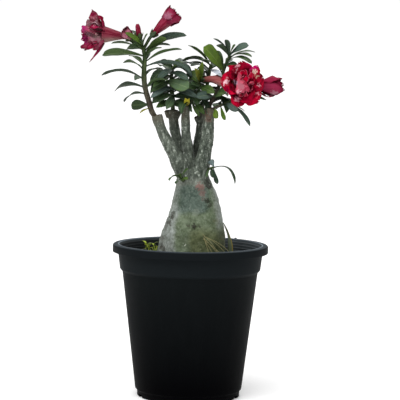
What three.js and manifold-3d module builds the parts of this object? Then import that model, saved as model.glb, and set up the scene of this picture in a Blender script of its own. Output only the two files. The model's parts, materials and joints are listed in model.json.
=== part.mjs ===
// A desert rose with a swollen caudex in a black nursery pot. Millimetres, +Z up.
// The origin is the centre of the pot's base and -Y is the front.
import * as THREE from 'three';
import Module from 'manifold-3d';

const wasm = await Module();
wasm.setup();
const { Manifold, Mesh: SolidMesh } = wasm;

// Driving dimensions
const POT_HEIGHT = 245;
const LIP_R = 125;
const COLLAR_TOP_R = 116;
const COLLAR_LOW_R = 113;
const BODY_TOP_R = 109;
const BODY_LOW_R = 86;
const FOOT_R = 83;
const STEP_Z = 202;
const WALL = 2.2;
const FLOOR_THICK = 2.6;
const FOOT_Z = 9;
const LIP_UNDER_Z = 241.6;
const LIP_EDGE_Z = 232.6;
const LIP_INNER_R = 114.6;
const NOTCHES = 8;
const POT_SIDES = 36;
const SOIL_R = 111;
const SOIL_EDGE_Z = 211;
const SOIL_MOUND = 4;
const GAP = 0.3;
const LEAF_THICK = 0.9;
const PETAL_THICK = 1.1;
const LEAF_WAVE = 0.035;
const RULE_BOW = 0.14;
const LEAF_ROOM = 0.45;
const LEAF_BESIDE = 0.1;
const PLAIN_UNDER = 15.5;
const GOLDEN_SHARE = 0.618;
const RULE_START = 40;
const STRAW_R = 0.6;
const LOOSE_LIMIT = 20;

const V = (x, y, z) => new THREE.Vector3(x, y, z);
const RAD = Math.PI / 180;
const mix = (a, b, f) => a + (b - a) * f;
const draw = (k) => {
  const s = Math.sin(k * 12.9898 + 4.1414) * 43758.5453;
  return s - Math.floor(s);
};

// One closed solid from points and triangles, its faces outward
function solid(points, triangles) {
  const vertProperties = new Float32Array(points.length * 3);
  points.forEach((p, i) => vertProperties.set([p.x, p.y, p.z], i * 3));
  const make = (tris) => new Manifold(new SolidMesh({
    numProp: 3, vertProperties, triVerts: new Uint32Array(tris.flat()),
  }));
  const made = make(triangles);
  return made.volume() > 0 ? made : make(triangles.map((t) => [t[0], t[2], t[1]]));
}

// One closed solid from a drawn surface, its doubled points joined
function welded(drawn) {
  const flat = drawn.getAttribute('position');
  const index = drawn.getIndex();
  const keys = new Map();
  const points = [];
  const names = [];
  for (let i = 0; i < flat.count; i += 1) {
    const p = V(flat.getX(i), flat.getY(i), flat.getZ(i));
    const key = p.toArray().map((c) => Math.round(c * 1e4)).join();
    if (!keys.has(key)) {
      keys.set(key, points.length);
      points.push(p);
    }
    names.push(keys.get(key));
  }
  const tris = [];
  for (let i = 0; i < index.count; i += 3) {
    const t = [0, 1, 2].map((k) => names[index.getX(i + k)]);
    if (t[0] !== t[1] && t[1] !== t[2] && t[0] !== t[2]) tris.push(t);
  }
  return solid(points, tris);
}

// Rings of equal count joined side to side, with flat ends
function ringSolid(rings) {
  const n = rings[0].length;
  const points = rings.flat();
  const tris = [];
  for (let i = 0; i + 1 < rings.length; i += 1) {
    for (let j = 0; j < n; j += 1) {
      const a = i * n + j;
      const b = i * n + ((j + 1) % n);
      tris.push([a, b, b + n], [a, b + n, a + n]);
    }
  }
  const last = (rings.length - 1) * n;
  for (let j = 1; j + 1 < n; j += 1) {
    tris.push([0, j + 1, j]);
    tris.push([last, last + j, last + j + 1]);
  }
  return solid(points, tris);
}

// A closed profile of [radius, height] turned about the axis
function turned(profile, sides) {
  const g = new THREE.LatheGeometry(profile.map(([r, z]) => new THREE.Vector2(r, z)), sides);
  g.rotateX(Math.PI / 2);
  return welded(g);
}

// Point and radius on a smooth curve through [x, y, z, radius] points
function along(path, t) {
  const n = path.length - 1;
  const s = Math.min(Math.max(t, 0) * n, n - 1e-9);
  const i = Math.floor(s);
  const f = s - i;
  const p0 = path[Math.max(i - 1, 0)];
  const p1 = path[i];
  const p2 = path[i + 1];
  const p3 = path[Math.min(i + 2, n)];
  const c = [0, 1, 2].map((k) => {
    const m1 = (p2[k] - p0[k]) / 2;
    const m2 = (p3[k] - p1[k]) / 2;
    const f2 = f * f;
    const f3 = f2 * f;
    const near = (2 * f3 - 3 * f2 + 1) * p1[k] + (f3 - 2 * f2 + f) * m1;
    return near + (3 * f2 - 2 * f3) * p2[k] + (f3 - f2) * m2;
  });
  return { p: V(c[0], c[1], c[2]), r: mix(p1[3], p2[3], f) };
}

function heading(path, t) {
  const a = along(path, Math.max(t - 0.01, 0)).p;
  const b = along(path, Math.min(t + 0.01, 1)).p;
  return b.sub(a).normalize();
}

// A round stem along a path; swell(t, angle) scales the radius
function stem(path, steps, sides, extra = 0, swell = () => 1) {
  const rings = [];
  let side = V(0, 1, 0).cross(heading(path, 0)).normalize();
  for (let i = 0; i <= steps; i += 1) {
    const t = i / steps;
    const d = heading(path, t);
    const { p, r } = along(path, t);
    side = side.sub(d.clone().multiplyScalar(side.dot(d))).normalize();
    const other = d.clone().cross(side);
    if (i === 0) p.addScaledVector(d, -extra);
    const ring = [];
    for (let j = 0; j < sides; j += 1) {
      const a = (j / sides) * 2 * Math.PI;
      const k = (r + extra) * swell(t, a);
      const q = p.clone().addScaledVector(side, k * Math.cos(a));
      ring.push(q.addScaledVector(other, k * Math.sin(a)));
    }
    rings.push(ring);
  }
  return ringSolid(rings);
}

// Half-width of a blade along its length, as a share of the greatest half-width
const OUTLINES = {
  leaf: (t) => {
    if (t < 0.66) return 0.13 + 0.87 * Math.sin((Math.PI / 2) * (t / 0.66)) ** 1.5;
    return Math.max(Math.sqrt(Math.max(1 - ((t - 0.66) / 0.34) ** 2.3, 0)), 0.06);
  },
  petal: (t) => {
    if (t < 0.62) return 0.24 + 0.76 * Math.sin((Math.PI / 2) * (t / 0.62));
    return Math.max(Math.sqrt(Math.max(1 - ((t - 0.62) / 0.38) ** 2.6, 0)), 0.22);
  },
  strap: (t) => {
    const belly = 0.62 + 0.38 * Math.sin(Math.PI * Math.min(t / 0.7, 1));
    return Math.max(belly * Math.sqrt(1 - t), 0.08);
  },
};
OUTLINES.plain_leaf = OUTLINES.leaf;
const STATIONS = {
  leaf: [0, 0.36, 0.72, 1],
  plain_leaf: [0, 0.4, 0.78, 1],
  petal: [0, 0.38, 0.74, 1],
  strap: [0, 0.5, 1],
};

// Frame of a blade at t: centre point, side direction and face normal
function bladeFrame(s, t) {
  const chord = s.t.clone().sub(s.b);
  const c = chord.clone().normalize();
  const n0 = s.up.clone().addScaledVector(c, -s.up.dot(c)).normalize();
  const s0 = c.clone().cross(n0);
  const roll = s.roll * RAD;
  const n = n0.multiplyScalar(Math.cos(roll)).addScaledVector(s0, Math.sin(roll));
  const w = c.clone().cross(n);
  const lift = 4 * t * (1 - t);
  const slope = 4 * (1 - 2 * t);
  const p = s.b.clone().addScaledVector(chord, t);
  p.addScaledVector(n, lift * s.bow).addScaledVector(w, lift * s.sweep);
  const d = chord.clone().addScaledVector(n, slope * s.bow).addScaledVector(w, slope * s.sweep);
  d.normalize();
  const side = d.clone().cross(n).normalize();
  return { p, side, face: side.clone().cross(d) };
}

// A thin closed blade such as a leaf or petal; grow fattens it to test for room
function blade(s, grow = 0, rows = STATIONS[s.kind]) {
  const cols = s.cols;
  const top = [];
  const low = [];
  for (const t of rows) {
    const { p, side, face } = bladeFrame(s, t);
    const h = (s.w / 2) * OUTLINES[s.kind](t);
    for (let j = 0; j <= cols; j += 1) {
      const v = (2 * j) / cols - 1;
      const a = Math.abs(v);
      const frill = s.wave * a ** 1.5 * Math.sin(Math.min(t * 1.2, 1) * (Math.PI / 2));
      const turns = 2 * Math.PI * s.waves * t + s.phase + (v > 0 ? 0 : 2.1);
      const up = h * (a * Math.sin(s.fold * RAD) + a * a * s.cup) + frill * Math.sin(turns);
      const across = (h + grow) * v * Math.cos(s.fold * RAD);
      const thick = (s.thick / 2) * (1 + 0.3 * (1 - a)) + s.root * (1 - t) ** 6 + grow;
      const q = p.clone().addScaledVector(side, across).addScaledVector(face, up);
      top.push(q.clone().addScaledVector(face, thick));
      low.push(q.clone().addScaledVector(face, -thick));
    }
  }
  const n = top.length;
  const m = cols + 1;
  const tris = [];
  for (let i = 0; i + 1 < rows.length; i += 1) {
    for (let j = 0; j < cols; j += 1) {
      const a = i * m + j;
      const b = a + m;
      tris.push([a, b, b + 1], [a, b + 1, a + 1]);
      tris.push([n + a, n + b + 1, n + b], [n + a, n + a + 1, n + b + 1]);
    }
    const l = i * m;
    const r = l + cols;
    tris.push([l, n + l, n + l + m], [l, n + l + m, l + m]);
    tris.push([r, r + m, n + r + m], [r, n + r + m, n + r]);
  }
  for (let j = 0; j < cols; j += 1) {
    const e = (rows.length - 1) * m + j;
    tris.push([j, j + 1, n + j + 1], [j, n + j + 1, n + j]);
    tris.push([e, n + e, n + e + 1], [e, n + e + 1, e + 1]);
  }
  return solid(top.concat(low), tris);
}

const PLAIN = {
  kind: 'leaf', cols: 2, fold: 12, cup: 0, wave: 0, waves: 1.5, phase: 0, thick: LEAF_THICK,
  root: 0.9, sweep: 0, bow: 0, roll: 0, up: V(0, 0, 1),
};

// Everything that touches fused, and loose scraps dropped
function fuse(list) {
  const joined = Manifold.union(list);
  const pieces = joined.decompose().sort((a, b) => b.volume() - a.volume());
  const lost = pieces.slice(1).reduce((sum, p) => sum + Math.abs(p.volume()), 0);
  if (lost > LOOSE_LIMIT) console.warn(`loose pieces of ${lost.toFixed(1)} mm3 dropped`);
  return pieces[0];
}

const placed = [];
function apart(test, others) {
  const box = test.boundingBox();
  return others.every((o) => {
    const b = o.boundingBox();
    const far = [0, 1, 2].some((k) => b.min[k] > box.max[k] || b.max[k] < box.min[k]);
    return far || o.intersect(test).isEmpty();
  });
}

// Turns tried one after another, in degrees about the root, until a leaf has room
const TURNS = [
  [0, 0], [8, 0], [-8, 0], [0, 8], [0, -8], [12, 10], [-12, 10], [15, -10], [-15, -10], [24, 0], [-24, 0],
  [0, 20], [0, -20], [30, 14], [-30, 14], [40, 0], [-40, 0], [48, 20], [-48, 20], [60, 0], [-60, 0],
  [75, 15], [-75, 15],
];

const wayTo = (az, el) => V(Math.cos(el) * Math.cos(az), Math.cos(el) * Math.sin(az), Math.sin(el));

function turnedTip(b, t, turn) {
  const d = t.clone().sub(b);
  const len = d.length();
  const az = Math.atan2(d.y, d.x) + turn[0] * RAD;
  const el = Math.min(Math.asin(d.z / len) + turn[1] * RAD, 80 * RAD);
  return b.clone().addScaledVector(wayTo(az, el), len);
}

// The first turn of a leaf that clears other nodes, and past its root the leaves beside it
function roomyLeaf(s, others, beside) {
  for (const turn of TURNS) {
    const tried = { ...s, t: turnedTip(s.b, s.t, turn) };
    const free = apart(blade(tried, LEAF_ROOM), others);
    const outer = STATIONS[s.kind].slice(1);
    if (free && apart(blade(tried, LEAF_BESIDE, outer), beside)) return blade(tried);
  }
  return null;
}

const group = new THREE.Group();
group.name = 'potted_desert_rose';
function node(name, color, shape) {
  const mesh = shape.getMesh();
  const g = new THREE.BufferGeometry();
  const points = new Float32Array((mesh.vertProperties.length / mesh.numProp) * 3);
  for (let i = 0; i < points.length / 3; i += 1) {
    for (let k = 0; k < 3; k += 1) points[i * 3 + k] = mesh.vertProperties[i * mesh.numProp + k];
  }
  g.setAttribute('position', new THREE.BufferAttribute(points, 3));
  g.setIndex(new THREE.BufferAttribute(new Uint32Array(mesh.triVerts), 1));
  const made = new THREE.Mesh(g, new THREE.MeshStandardMaterial({ color, roughness: 0.7 }));
  made.name = name;
  group.add(made);
  placed.push(shape);
}

// Trunk: caudex rings as [height, centre x, centre y, radius]
const CAUDEX = [
  [128, 0, 0, 12], [150, 0, 0, 34], [180, 0, 0, 50], [212, 1, 0, 55], [235, 1.8, 0, 54.4],
  [251, 2.7, 0, 52.6], [267, 4.7, -1, 50], [280, 5.9, -1, 46.2], [299.5, 7.4, -1, 40.6],
  [315.6, 7.4, 0, 36.7], [331.7, 5.6, 0, 32.6], [345, 3.7, 0, 28.4], [358, 1.5, 0, 25], [368, 0, 0, 21],
];
const CAUDEX_SIDES = 24;
function caudexBulge(z, a) {
  const rise = Math.min(Math.max((z - 150) / 90, 0), 1);
  const ribs = 0.035 * Math.cos(3 * a + 0.6 + z * 0.006) + 0.02 * Math.cos(5 * a - z * 0.011);
  const rough = 0.012 * Math.sin(9 * a + z * 0.05) * Math.sin(z * 0.09);
  return 1 + rise * (ribs * Math.abs(Math.sin(a)) ** 1.5 + rough);
}
function caudex(extra) {
  const rings = CAUDEX.map(([z, x, y, r], i) => {
    const ring = [];
    for (let j = 0; j < CAUDEX_SIDES; j += 1) {
      const a = (j / CAUDEX_SIDES) * 2 * Math.PI;
      const k = r * caudexBulge(z, a) + extra;
      ring.push(V(x + k * Math.cos(a), y + k * Math.sin(a), z - (i === 0 ? extra : 0)));
    }
    return ring;
  });
  return ringSolid(rings);
}

// Pruned branches as [x, y, z, radius] paths that start inside the neck
const BRANCHES = {
  left: [
    [-4, -4, 345, 15], [-12, -8, 362, 15], [-20.5, -12, 377, 13], [-31.5, -15, 396, 10.8],
    [-45, -17, 420, 9], [-54, -18, 441, 8.4], [-57, -18, 452.5, 8.6],
  ],
  middle: [
    [-3, 4, 345, 13], [-6, 7, 366, 11.5], [-17.6, 11, 396, 9.4], [-26.7, 14, 420, 8],
    [-31.4, 15, 447, 7.2], [-32, 15, 460, 7.6],
  ],
  centre: [
    [0, -2, 348, 12], [-3, -3, 372, 10.4], [-6.4, -4, 396, 8.8], [-10, -4, 420, 7.6],
    [-11.5, -4, 450, 7], [-11, -4, 467.5, 7.3],
  ],
  back: [
    [4, 5, 345, 12], [6, 9, 372, 9.6], [7.5, 14, 396, 8], [11, 17, 420, 7], [13.4, 18, 448, 6.4],
    [14, 18, 461, 6.8],
  ],
  right: [
    [6, -4, 345, 14], [12, -8, 362, 15], [16.6, -11, 376, 13.2], [20.4, -13, 396.5, 11],
    [24.4, -14, 420.7, 9.2], [25.8, -14, 450, 8.6], [26.4, -14, 465.5, 8.8],
  ],
};
const BRANCH_SIDES = 10;
function branch(name, k) {
  const wobble = (t, a) => 1 + 0.05 * Math.sin(2 * a + 7 * t + k) + 0.035 * Math.sin(23 * t + 2 * k);
  return stem(BRANCHES[name], 6, BRANCH_SIDES, 0, wobble);
}
const STUBS = [
  [[-38, 14, 448, 4.5], [-43, 13, 459, 3.6]], [[-26, 14, 448, 4.5], [-21, 13, 457, 3.4]],
  [[10, 16, 440, 4], [4, 12, 449, 3]], [[-33, -16, 396, 6], [-40, -24, 399, 4.4]],
  [[22, -14, 402, 6], [31, -20, 409, 4.2]],
];

// Leafy stems. Each seen leaf is [place on stem, tip x, y, z, width, bow, roll, sweep]. A rule adds
// leaves that point toward facing, spread to both sides of it, and rise from low to high
const SHOOTS = [
  {
    name: 'leafy_stem_left',
    path: [
      [-59, -18, 449.5, 4], [-65, -18, 458, 4.4], [-70, -18, 474, 4.6], [-74.5, -19, 489, 4.5],
      [-77.5, -20, 504, 4.3], [-78.3, -20, 522, 4], [-77.5, -20, 545, 3.6], [-81, -20, 561, 2.6],
    ],
    leaves: [
      [0.93, -131.7, 4, 564.4, 12, 5, 15, 0], [0.86, -144.2, -32, 546, 21, 9, 30, 0],
      [0.76, -100, -52, 546, 14, 4, 0, 0], [0.62, -145, -26, 514, 18, 12, 12, 0],
      [0.5, -123, -46, 490, 17, 9, 20, 0], [0.4, -107, -52, 474, 15, 7, 10, 0],
      [0.24, -97, -40, 468, 17, 1, 82, 0], [0.2, -84, -30, 455, 7, 1, 40, 0],
      [0.88, -44, -34, 574, 16, 5, -40, 0], [0.92, -12, -12, 579, 18, 10, -40, 0],
      [0.84, -51, -44, 559, 13, 4, 0, 0], [0.8, -19, -38, 557, 19, 9, -24, 0],
      [0.76, -3, -24, 519, 25, 18, -30, 0], [0.97, -110, -26, 585, 13, 3, 40, 0],
      [0.97, -59, -46, 583, 12, 2, 50, 0], [0.97, -73, -44, 580, 11, 2, 60, 0],
      [0.95, -104, -52, 557, 20, 4, 40, 0],
    ],
    rules: [
      {
        count: 7, from: 0.5, to: 0.94, facing: 95, spread: 150, low: -4, high: 34, long: 48, wide: 18,
        seed: 10,
      },
    ],
    stalks: [
      { path: [[-80.5, -20, 558, 2.2], [-90, -20, 569, 2.2]], cup: 'bloom_left' },
      { path: [[-80, -20, 556, 2], [-87, -30, 562, 2]], cup: 'bud_half_open' },
      { path: [[-81, -20, 560, 1.8], [-85, -26, 565, 1.8]], cup: 'bud_small' },
      { path: [[-79.5, -20, 556, 2.2], [-72, -18, 570, 2.2]], cup: 'bloom_top' },
    ],
  },
  {
    name: 'leafy_stem_middle',
    path: [
      [-32, 15, 457, 3.4], [-32.5, 14, 470, 3.5], [-34, 12, 489, 3.4], [-35.5, 8, 508, 3.2],
      [-33, 5, 530, 2.4],
    ],
    leaves: [
      [0.8, -5, -28, 499, 26, 3, 62, 0], [0.92, -8, -12, 508, 24, 11, 20, 0],
      [0.85, -68, -7, 499, 20, 13, -28, 0], [0.68, -68, -5, 486, 20, 10, -30, 0],
      [0.5, -64, -12, 474, 18, 7, -38, 0], [0.7, -57, -26, 491, 22, 4, -56, 0],
      [0.4, -2, -24, 486, 24, 5, 42, 0], [0.3, -50, -18, 465, 17, 3, -46, 0],
      [0.28, -12, -18, 468, 17, 3, 52, 0], [0.97, -48, -12, 537, 14, 3, -50, 0],
      [0.95, -14, 0, 530, 16, 4, 30, 0],
    ],
    rules: [
      {
        count: 8, from: 0.3, to: 0.94, facing: 90, spread: 190, low: -12, high: 8, long: 50, wide: 22,
        seed: 30,
      },
      {
        count: 7, from: 0.34, to: 0.9, facing: -90, spread: 170, low: -30, high: -8, long: 46, wide: 23,
        seed: 36,
      },
    ],
    stalks: [],
  },
  {
    name: 'leafy_stem_centre',
    path: [
      [-8.5, -5, 464.5, 3], [-3, -7, 474, 3.1], [4.9, -6, 484, 3], [10, -4, 496, 2.8],
      [10, -2, 505, 2.4],
    ],
    leaves: [
      [0.35, 19, -24, 455, 10, 2, 50, 0], [0.26, 11, -20, 451, 7, 2, 50, 0],
      [0.35, -14, -24, 481, 9, 2, 60, 0], [0.24, -14, -24, 470, 7, 1, 60, 0],
      [0.95, 3, -14, 529, 12, 2, 72, 0], [0.98, 15, -14, 540, 10, 2, 74, 0],
      [0.9, -13, -12, 520, 20, 5, -36, 0], [0.62, -31, -26, 488, 20, 5, -36, 0],
      [0.85, -4, -32, 499, 18, 4, -40, 0], [0.8, 22, -34, 496, 17, 3, 50, 0],
      [0.2, -4, -20, 456, 8, 1, 60, 0],
    ],
    rules: [
      {
        count: 5, from: 0.45, to: 0.95, facing: 90, spread: 170, low: -5, high: 16, long: 44, wide: 20,
        seed: 50,
      },
      {
        count: 5, from: 0.4, to: 0.8, facing: -90, spread: 150, low: -34, high: -10, long: 40, wide: 20,
        seed: 56,
      },
    ],
    stalks: [{ path: [[10, -3, 500, 2.4], [8.4, -4, 506, 2.4]], cup: 'bloom_double' }],
  },
  {
    name: 'leafy_stem_back',
    path: [[14, 18, 458, 3.2], [17, 19, 474, 3.3], [21, 20, 490, 3.2], [24, 20, 513, 3], [28, 16, 534, 2.4]],
    leaves: [
      [0.88, -12, 4, 535, 11, 6, 12, 0], [0.95, -9, 6, 563.6, 11, 5, 18, 0],
      [0.88, 45, -18, 511, 12, 3, -30, 0], [0.72, 16, -14, 508, 16, 3, 60, 0],
      [0.7, 3, -4, 517, 20, 6, -30, 0], [0.55, 0, -4, 498, 20, 5, -32, 0],
      [0.45, 2, -6, 484, 20, 4, -36, 0],
    ],
    rules: [
      {
        count: 9, from: 0.28, to: 0.97, facing: 95, spread: 190, low: -10, high: 8, long: 50, wide: 22,
        seed: 70,
      },
    ],
    stalks: [],
  },
  {
    name: 'leafy_stem_right',
    path: [
      [23.4, -11, 462.5, 3], [29, -10, 474, 3.2], [36, -6, 486, 3.2], [42, 0, 503, 3],
      [48, 4, 524, 2.8], [54, 3, 541, 2.3], [58, 2, 550, 1.6],
    ],
    leaves: [
      [0.66, 14, -16, 563, 28, 3, -78, 0], [0.68, 38, 10, 556, 15, 3, -60, 0],
      [0.96, 31, -4, 575, 9, 4, 10, 0], [0.97, 46, -12, 571, 9, 3, 14, 0],
      [0.93, 37, -22, 565, 10, 4, 20, 0], [0.98, 62, -8, 568, 9, 1, 60, 0],
      [0.95, 87, -14, 565, 18, 4, 55, 0], [0.9, 92, -20, 547, 12, 5, 12, 0],
      [0.82, 92, -28, 537, 14, 8, 14, 0], [0.28, 8, -36, 480, 25, 4, -50, 0],
      [0.33, 54, -32, 488, 22, 3, 50, 0], [0.75, 68, -16, 531, 14, 3, 40, 0],
    ],
    rules: [
      {
        count: 7, from: 0.35, to: 0.92, facing: 80, spread: 170, low: -5, high: 22, long: 46, wide: 18,
        seed: 90,
      },
      {
        count: 4, from: 0.26, to: 0.5, facing: -95, spread: 130, low: -30, high: -8, long: 38, wide: 20,
        seed: 96,
      },
    ],
    stalks: [{ path: [[41.5, 0, 501, 2.2], [48, 9, 503, 2.2]], cup: 'bloom_right' }],
  },
  {
    name: 'leafy_stem_low_right',
    path: [
      [30, -17.4, 462.5, 2.4], [36, -20, 466, 2.4], [44, -20, 469.5, 2.3], [54, -19, 474, 2.2],
      [64, -18, 478, 1.7],
    ],
    leaves: [
      [0.98, 117, -10, 479, 18, 5, 20, 0], [0.72, 71, -44, 462, 17, 3, 52, 0],
      [0.55, 90.6, -44, 438.5, 14, 9, 16, 0], [0.5, 52, -36, 447, 8, 1, 70, 0],
      [0.2, 40, -34, 450, 12, 1, 66, 0], [0.9, 102, -40, 475, 14, 4, 30, 0],
    ],
    rules: [
      {
        count: 5, from: 0.4, to: 0.95, facing: 80, spread: 150, low: -10, high: 20, long: 44, wide: 17,
        seed: 110,
      },
    ],
    stalks: [],
  },
  {
    name: 'neck_sprout_left',
    path: [[-12, -21, 350, 3], [-14.5, -27, 351, 3.2], [-16, -30.5, 353, 2.4]],
    leaves: [
      [0.9, -5, -36, 369, 8, 2, 40, 0], [0.9, -35, -42, 350, 8, 6, 20, 0], [0.8, -24, -46, 346, 8, 2, 30, 0],
      [0.9, -20, -38, 360, 7, 2, 30, 0], [0.8, -6, -40, 352, 7, 2, 30, 0],
    ],
    rules: [],
    stalks: [],
  },
  {
    name: 'neck_sprout_right',
    path: [[22, -14, 366, 2.2], [29, -18, 368.5, 2.2], [36, -20, 371.5, 1.6]],
    leaves: [
      [0.9, 69, -34, 346, 8, 12, 10, 0], [0.85, 41, -36, 345.5, 8, -6, 20, 0],
      [0.7, 35, -32, 355, 8, 3, 30, 0], [0.5, 27, -34, 356, 7, 2, 30, 0],
      [0.95, 29, -30, 382, 11, 2, 40, 0],
    ],
    rules: [],
    stalks: [],
  },
];

// Blooms: a tube path, and layers of petals round its mouth, each petal turned about its length.
// A layer is [count, first angle, root radius, root height, tip radius, tip height, width, bow, swirl]
const BLOOMS = {
  bloom_left: {
    color: 0xc2395f,
    tube: [
      [-99.6, -21.8, 574, 2.6], [-113, -23, 576.5, 4.6], [-129, -24, 577.5, 8.2],
      [-146, -25, 578, 12.5],
    ],
    layers: [
      [5, 30, 10.5, -3, 38, 12, 25, 5, 8], [5, 66, 8, -2, 27, 23, 24, 3, -8],
      [3, 20, 4, -2, 9, 30, 20, 1, 16],
    ],
    ruffle: 2.4,
    turn: 42,
  },
  bud_half_open: {
    color: 0xd98aa5,
    tube: [[-93, -36, 569, 2.4], [-97, -38, 573.5, 5], [-102, -40, 578, 6.8]],
    layers: [[5, 0, 5.2, -2, 7, 12, 12, -1.5, 25]],
    ruffle: 0.8,
    turn: 15,
  },
  bud_small: {
    color: 0xc03a5e,
    tube: [
      [-86.4, -30, 574, 2.1], [-87, -30.6, 579, 4.4], [-88, -31.4, 586, 4], [-89, -32, 592, 2.2],
      [-89.6, -32, 596, 0.8],
    ],
    layers: [],
    ruffle: 0,
    turn: 0,
  },
  bloom_top: {
    color: 0xcd5f83,
    tube: [
      [-66, -17, 578.5, 2.6], [-59.5, -17.4, 585.5, 5.6], [-51, -17.8, 594.5, 8.2],
      [-43, -18, 602.5, 10],
    ],
    layers: [[5, 0, 8.4, -3, 12.5, 19, 18, -2.5, 22], [3, 40, 5, -2, 6, 22, 14, -2, 30]],
    ruffle: 1.4,
    turn: 15,
  },
  bloom_double: {
    color: 0xc81f46,
    tube: [
      [12.8, -5.6, 510, 2.8], [32, -12, 510.5, 5.4], [54, -25, 507.5, 9.6], [71, -38, 504.5, 13],
      [75, -49.5, 503.5, 13.5],
    ],
    layers: [
      [5, 14, 11, -3, 35, 4, 34, 4, 10], [5, 74, 9, -2, 31, 11, 30, 4, -14],
      [4, 20, 6, -2, 17, 16, 23, 0, 20], [1, 65, 4, -2, 3, 19, 24, 3, 60],
    ],
    ruffle: 2.4,
    turn: 15,
  },
  bloom_right: {
    color: 0xb02a55,
    tube: [[58.6, 11, 503.8, 2.6], [78, 9, 503, 5], [96, 4, 501.5, 8], [109, 0, 500, 10.5]],
    layers: [[5, 36, 8, -3, 14, 31, 20, -4, 10], [4, 0, 5, -2, 9, 25, 16, -2, 20]],
    ruffle: 1.8,
    turn: 15,
  },
};

// A calyx: a small cup with five points, clear of the tube that stands in it
const CUP = [[2.2, -2.8, 0], [5, -0.6, 0], [7.4, 3.4, 5.2], [6.5, 3.5, 5], [3.5, 0, 0]];
function calyx(tube) {
  const d = heading(tube, 0.02);
  const foot = along(tube, 0).p.addScaledVector(d, -GAP);
  const side = V(0, 0, 1).cross(d).normalize();
  const other = d.clone().cross(side);
  return ringSolid(CUP.map(([r, h, point]) => Array.from({ length: 10 }, (_, j) => {
    const a = j * 36 * RAD;
    const p = foot.clone().addScaledVector(d, h + (j % 2) * point);
    return p.addScaledVector(side, r * Math.cos(a)).addScaledVector(other, r * Math.sin(a));
  })));
}

// A flower stalk ends inside the foot of its calyx
function stalkPath(s) {
  const tube = BLOOMS[s.cup].tube;
  const end = along(tube, 0).p.addScaledVector(heading(tube, 0.02), -2.5);
  return [...s.path, [...end.toArray(), 2.1]];
}

const PETAL = { ...PLAIN, kind: 'petal', fold: 4, cup: 0.16, waves: 1.6, thick: PETAL_THICK, root: 0.5 };

function bloom(b) {
  const made = [stem(b.tube, 3, 9)];
  const d = heading(b.tube, 1);
  const mouth = along(b.tube, 1).p;
  const side = V(0, 0, 1).cross(d).normalize();
  const other = d.clone().cross(side);
  const outward = (a) => side.clone().multiplyScalar(Math.cos(a)).addScaledVector(other, Math.sin(a));
  b.layers.forEach(([count, first, r0, h0, r1, h1, w, bow, swirl], layer) => {
    for (let k = 0; k < count; k += 1) {
      const dice = draw(layer * 17 + k * 3 + b.tube[0][0]);
      const a = (first + (k * 360) / count + (dice - 0.5) * 16) * RAD;
      const a2 = a + swirl * RAD;
      const out = outward(a);
      const reach = 0.9 + 0.2 * draw(layer * 7 + k + 2);
      const root = mouth.clone().addScaledVector(d, h0).addScaledVector(out, r0);
      const tip = mouth.clone().addScaledVector(d, h1 * reach).addScaledVector(outward(a2), r1 * reach);
      made.push(blade({
        ...PETAL, b: root, t: tip, w, bow, up: d.clone().sub(out), wave: b.ruffle, phase: dice * 6,
        roll: b.turn + (dice - 0.5) * 6,
      }));
    }
  });
  return fuse(made);
}

function shootStems(shoot, extra) {
  const made = [stem(shoot.path, 6, 6, extra)];
  shoot.stalks.forEach((s) => made.push(stem(stalkPath(s), 2, 5, extra)));
  return made;
}

function leafAt(shoot, k, place, tip, w, bow, roll, sweep) {
  const { p, r } = along(shoot.path, place);
  const dice = draw(shoot.path[0][0] + k * 5);
  const b = p.addScaledVector(tip.clone().sub(p).normalize(), 0.4 * r);
  const plain = k >= RULE_START || w <= PLAIN_UNDER ? { cols: 1, kind: 'plain_leaf' } : {};
  const wave = LEAF_WAVE * w;
  const fold = 9 + 9 * dice;
  return { ...PLAIN, b, t: tip, w, bow, roll, sweep, wave, phase: dice * 6, fold, ...plain };
}

const seenLeaves = (shoot) => shoot.leaves.map(([place, x, y, z, ...form], k) => (
  leafAt(shoot, k, place, V(x, y, z), ...form)));

function ruleLeaf(shoot, rule, i, k) {
  const f = i / (rule.count - 1);
  const az = (rule.facing + rule.spread * (((i * GOLDEN_SHARE) % 1) - 0.5)) * RAD;
  const el = mix(rule.low, rule.high, f) * RAD;
  const len = rule.long * (0.82 + 0.32 * draw(rule.seed + i));
  const place = mix(rule.from, rule.to, f);
  const tip = along(shoot.path, place).p.addScaledVector(wayTo(az, el), len);
  const width = rule.wide * (0.85 + 0.25 * draw(rule.seed + i + 5));
  const roll = (draw(rule.seed + i * 2) - 0.5) * 40;
  return leafAt(shoot, k, place, tip, width, RULE_BOW * len, roll, 0);
}

const ruleLeaves = (shoot) => shoot.rules.flatMap((rule, row) => {
  const first = RULE_START * (row + 1);
  return Array.from({ length: rule.count }, (_, i) => ruleLeaf(shoot, rule, i, first + i));
});

// Things that stand in the soil
const STRAWS = [
  [[36, -66, 207, STRAW_R], [30, -63, 235, STRAW_R], [21.5, -58.5, 261, STRAW_R]],
  [[47, -64, 207, STRAW_R], [36, -62, 236, STRAW_R], [21, -58.5, 260, STRAW_R]],
  [[58, -60, 207, STRAW_R], [44, -61, 236, STRAW_R], [20.5, -58.5, 262, STRAW_R]],
  [[67, -54, 207, STRAW_R], [52, -58, 233, STRAW_R], [21, -58, 259, STRAW_R]],
];
const GRASS_STEM = [[70, -14, 206, 2], [69.5, -15, 220, 2]];
const GRASS_HOLE = [[70, -14, 205.7, 2 + GAP], [69.5, -15, 222, 2 + GAP]];
const GRASS = {
  ...PLAIN, kind: 'strap', b: V(69.5, -15, 216), t: V(52, -37, 281), w: 10, bow: 2, sweep: 7,
  up: V(0.3, -1, 0), root: 0.6,
};
const WEED_FOOT = [[-67, 14, 206, 5], [-67, 14, 213.5, 4.6]];
const WEED_HOLE = [[-67, 14, 205.7, 6.2], [-67, 14, 222, 8.5]];
const WEED_STEMS = [[-62, 10, 0], [-71, 7, 1], [-74, 20, 2]];
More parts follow.
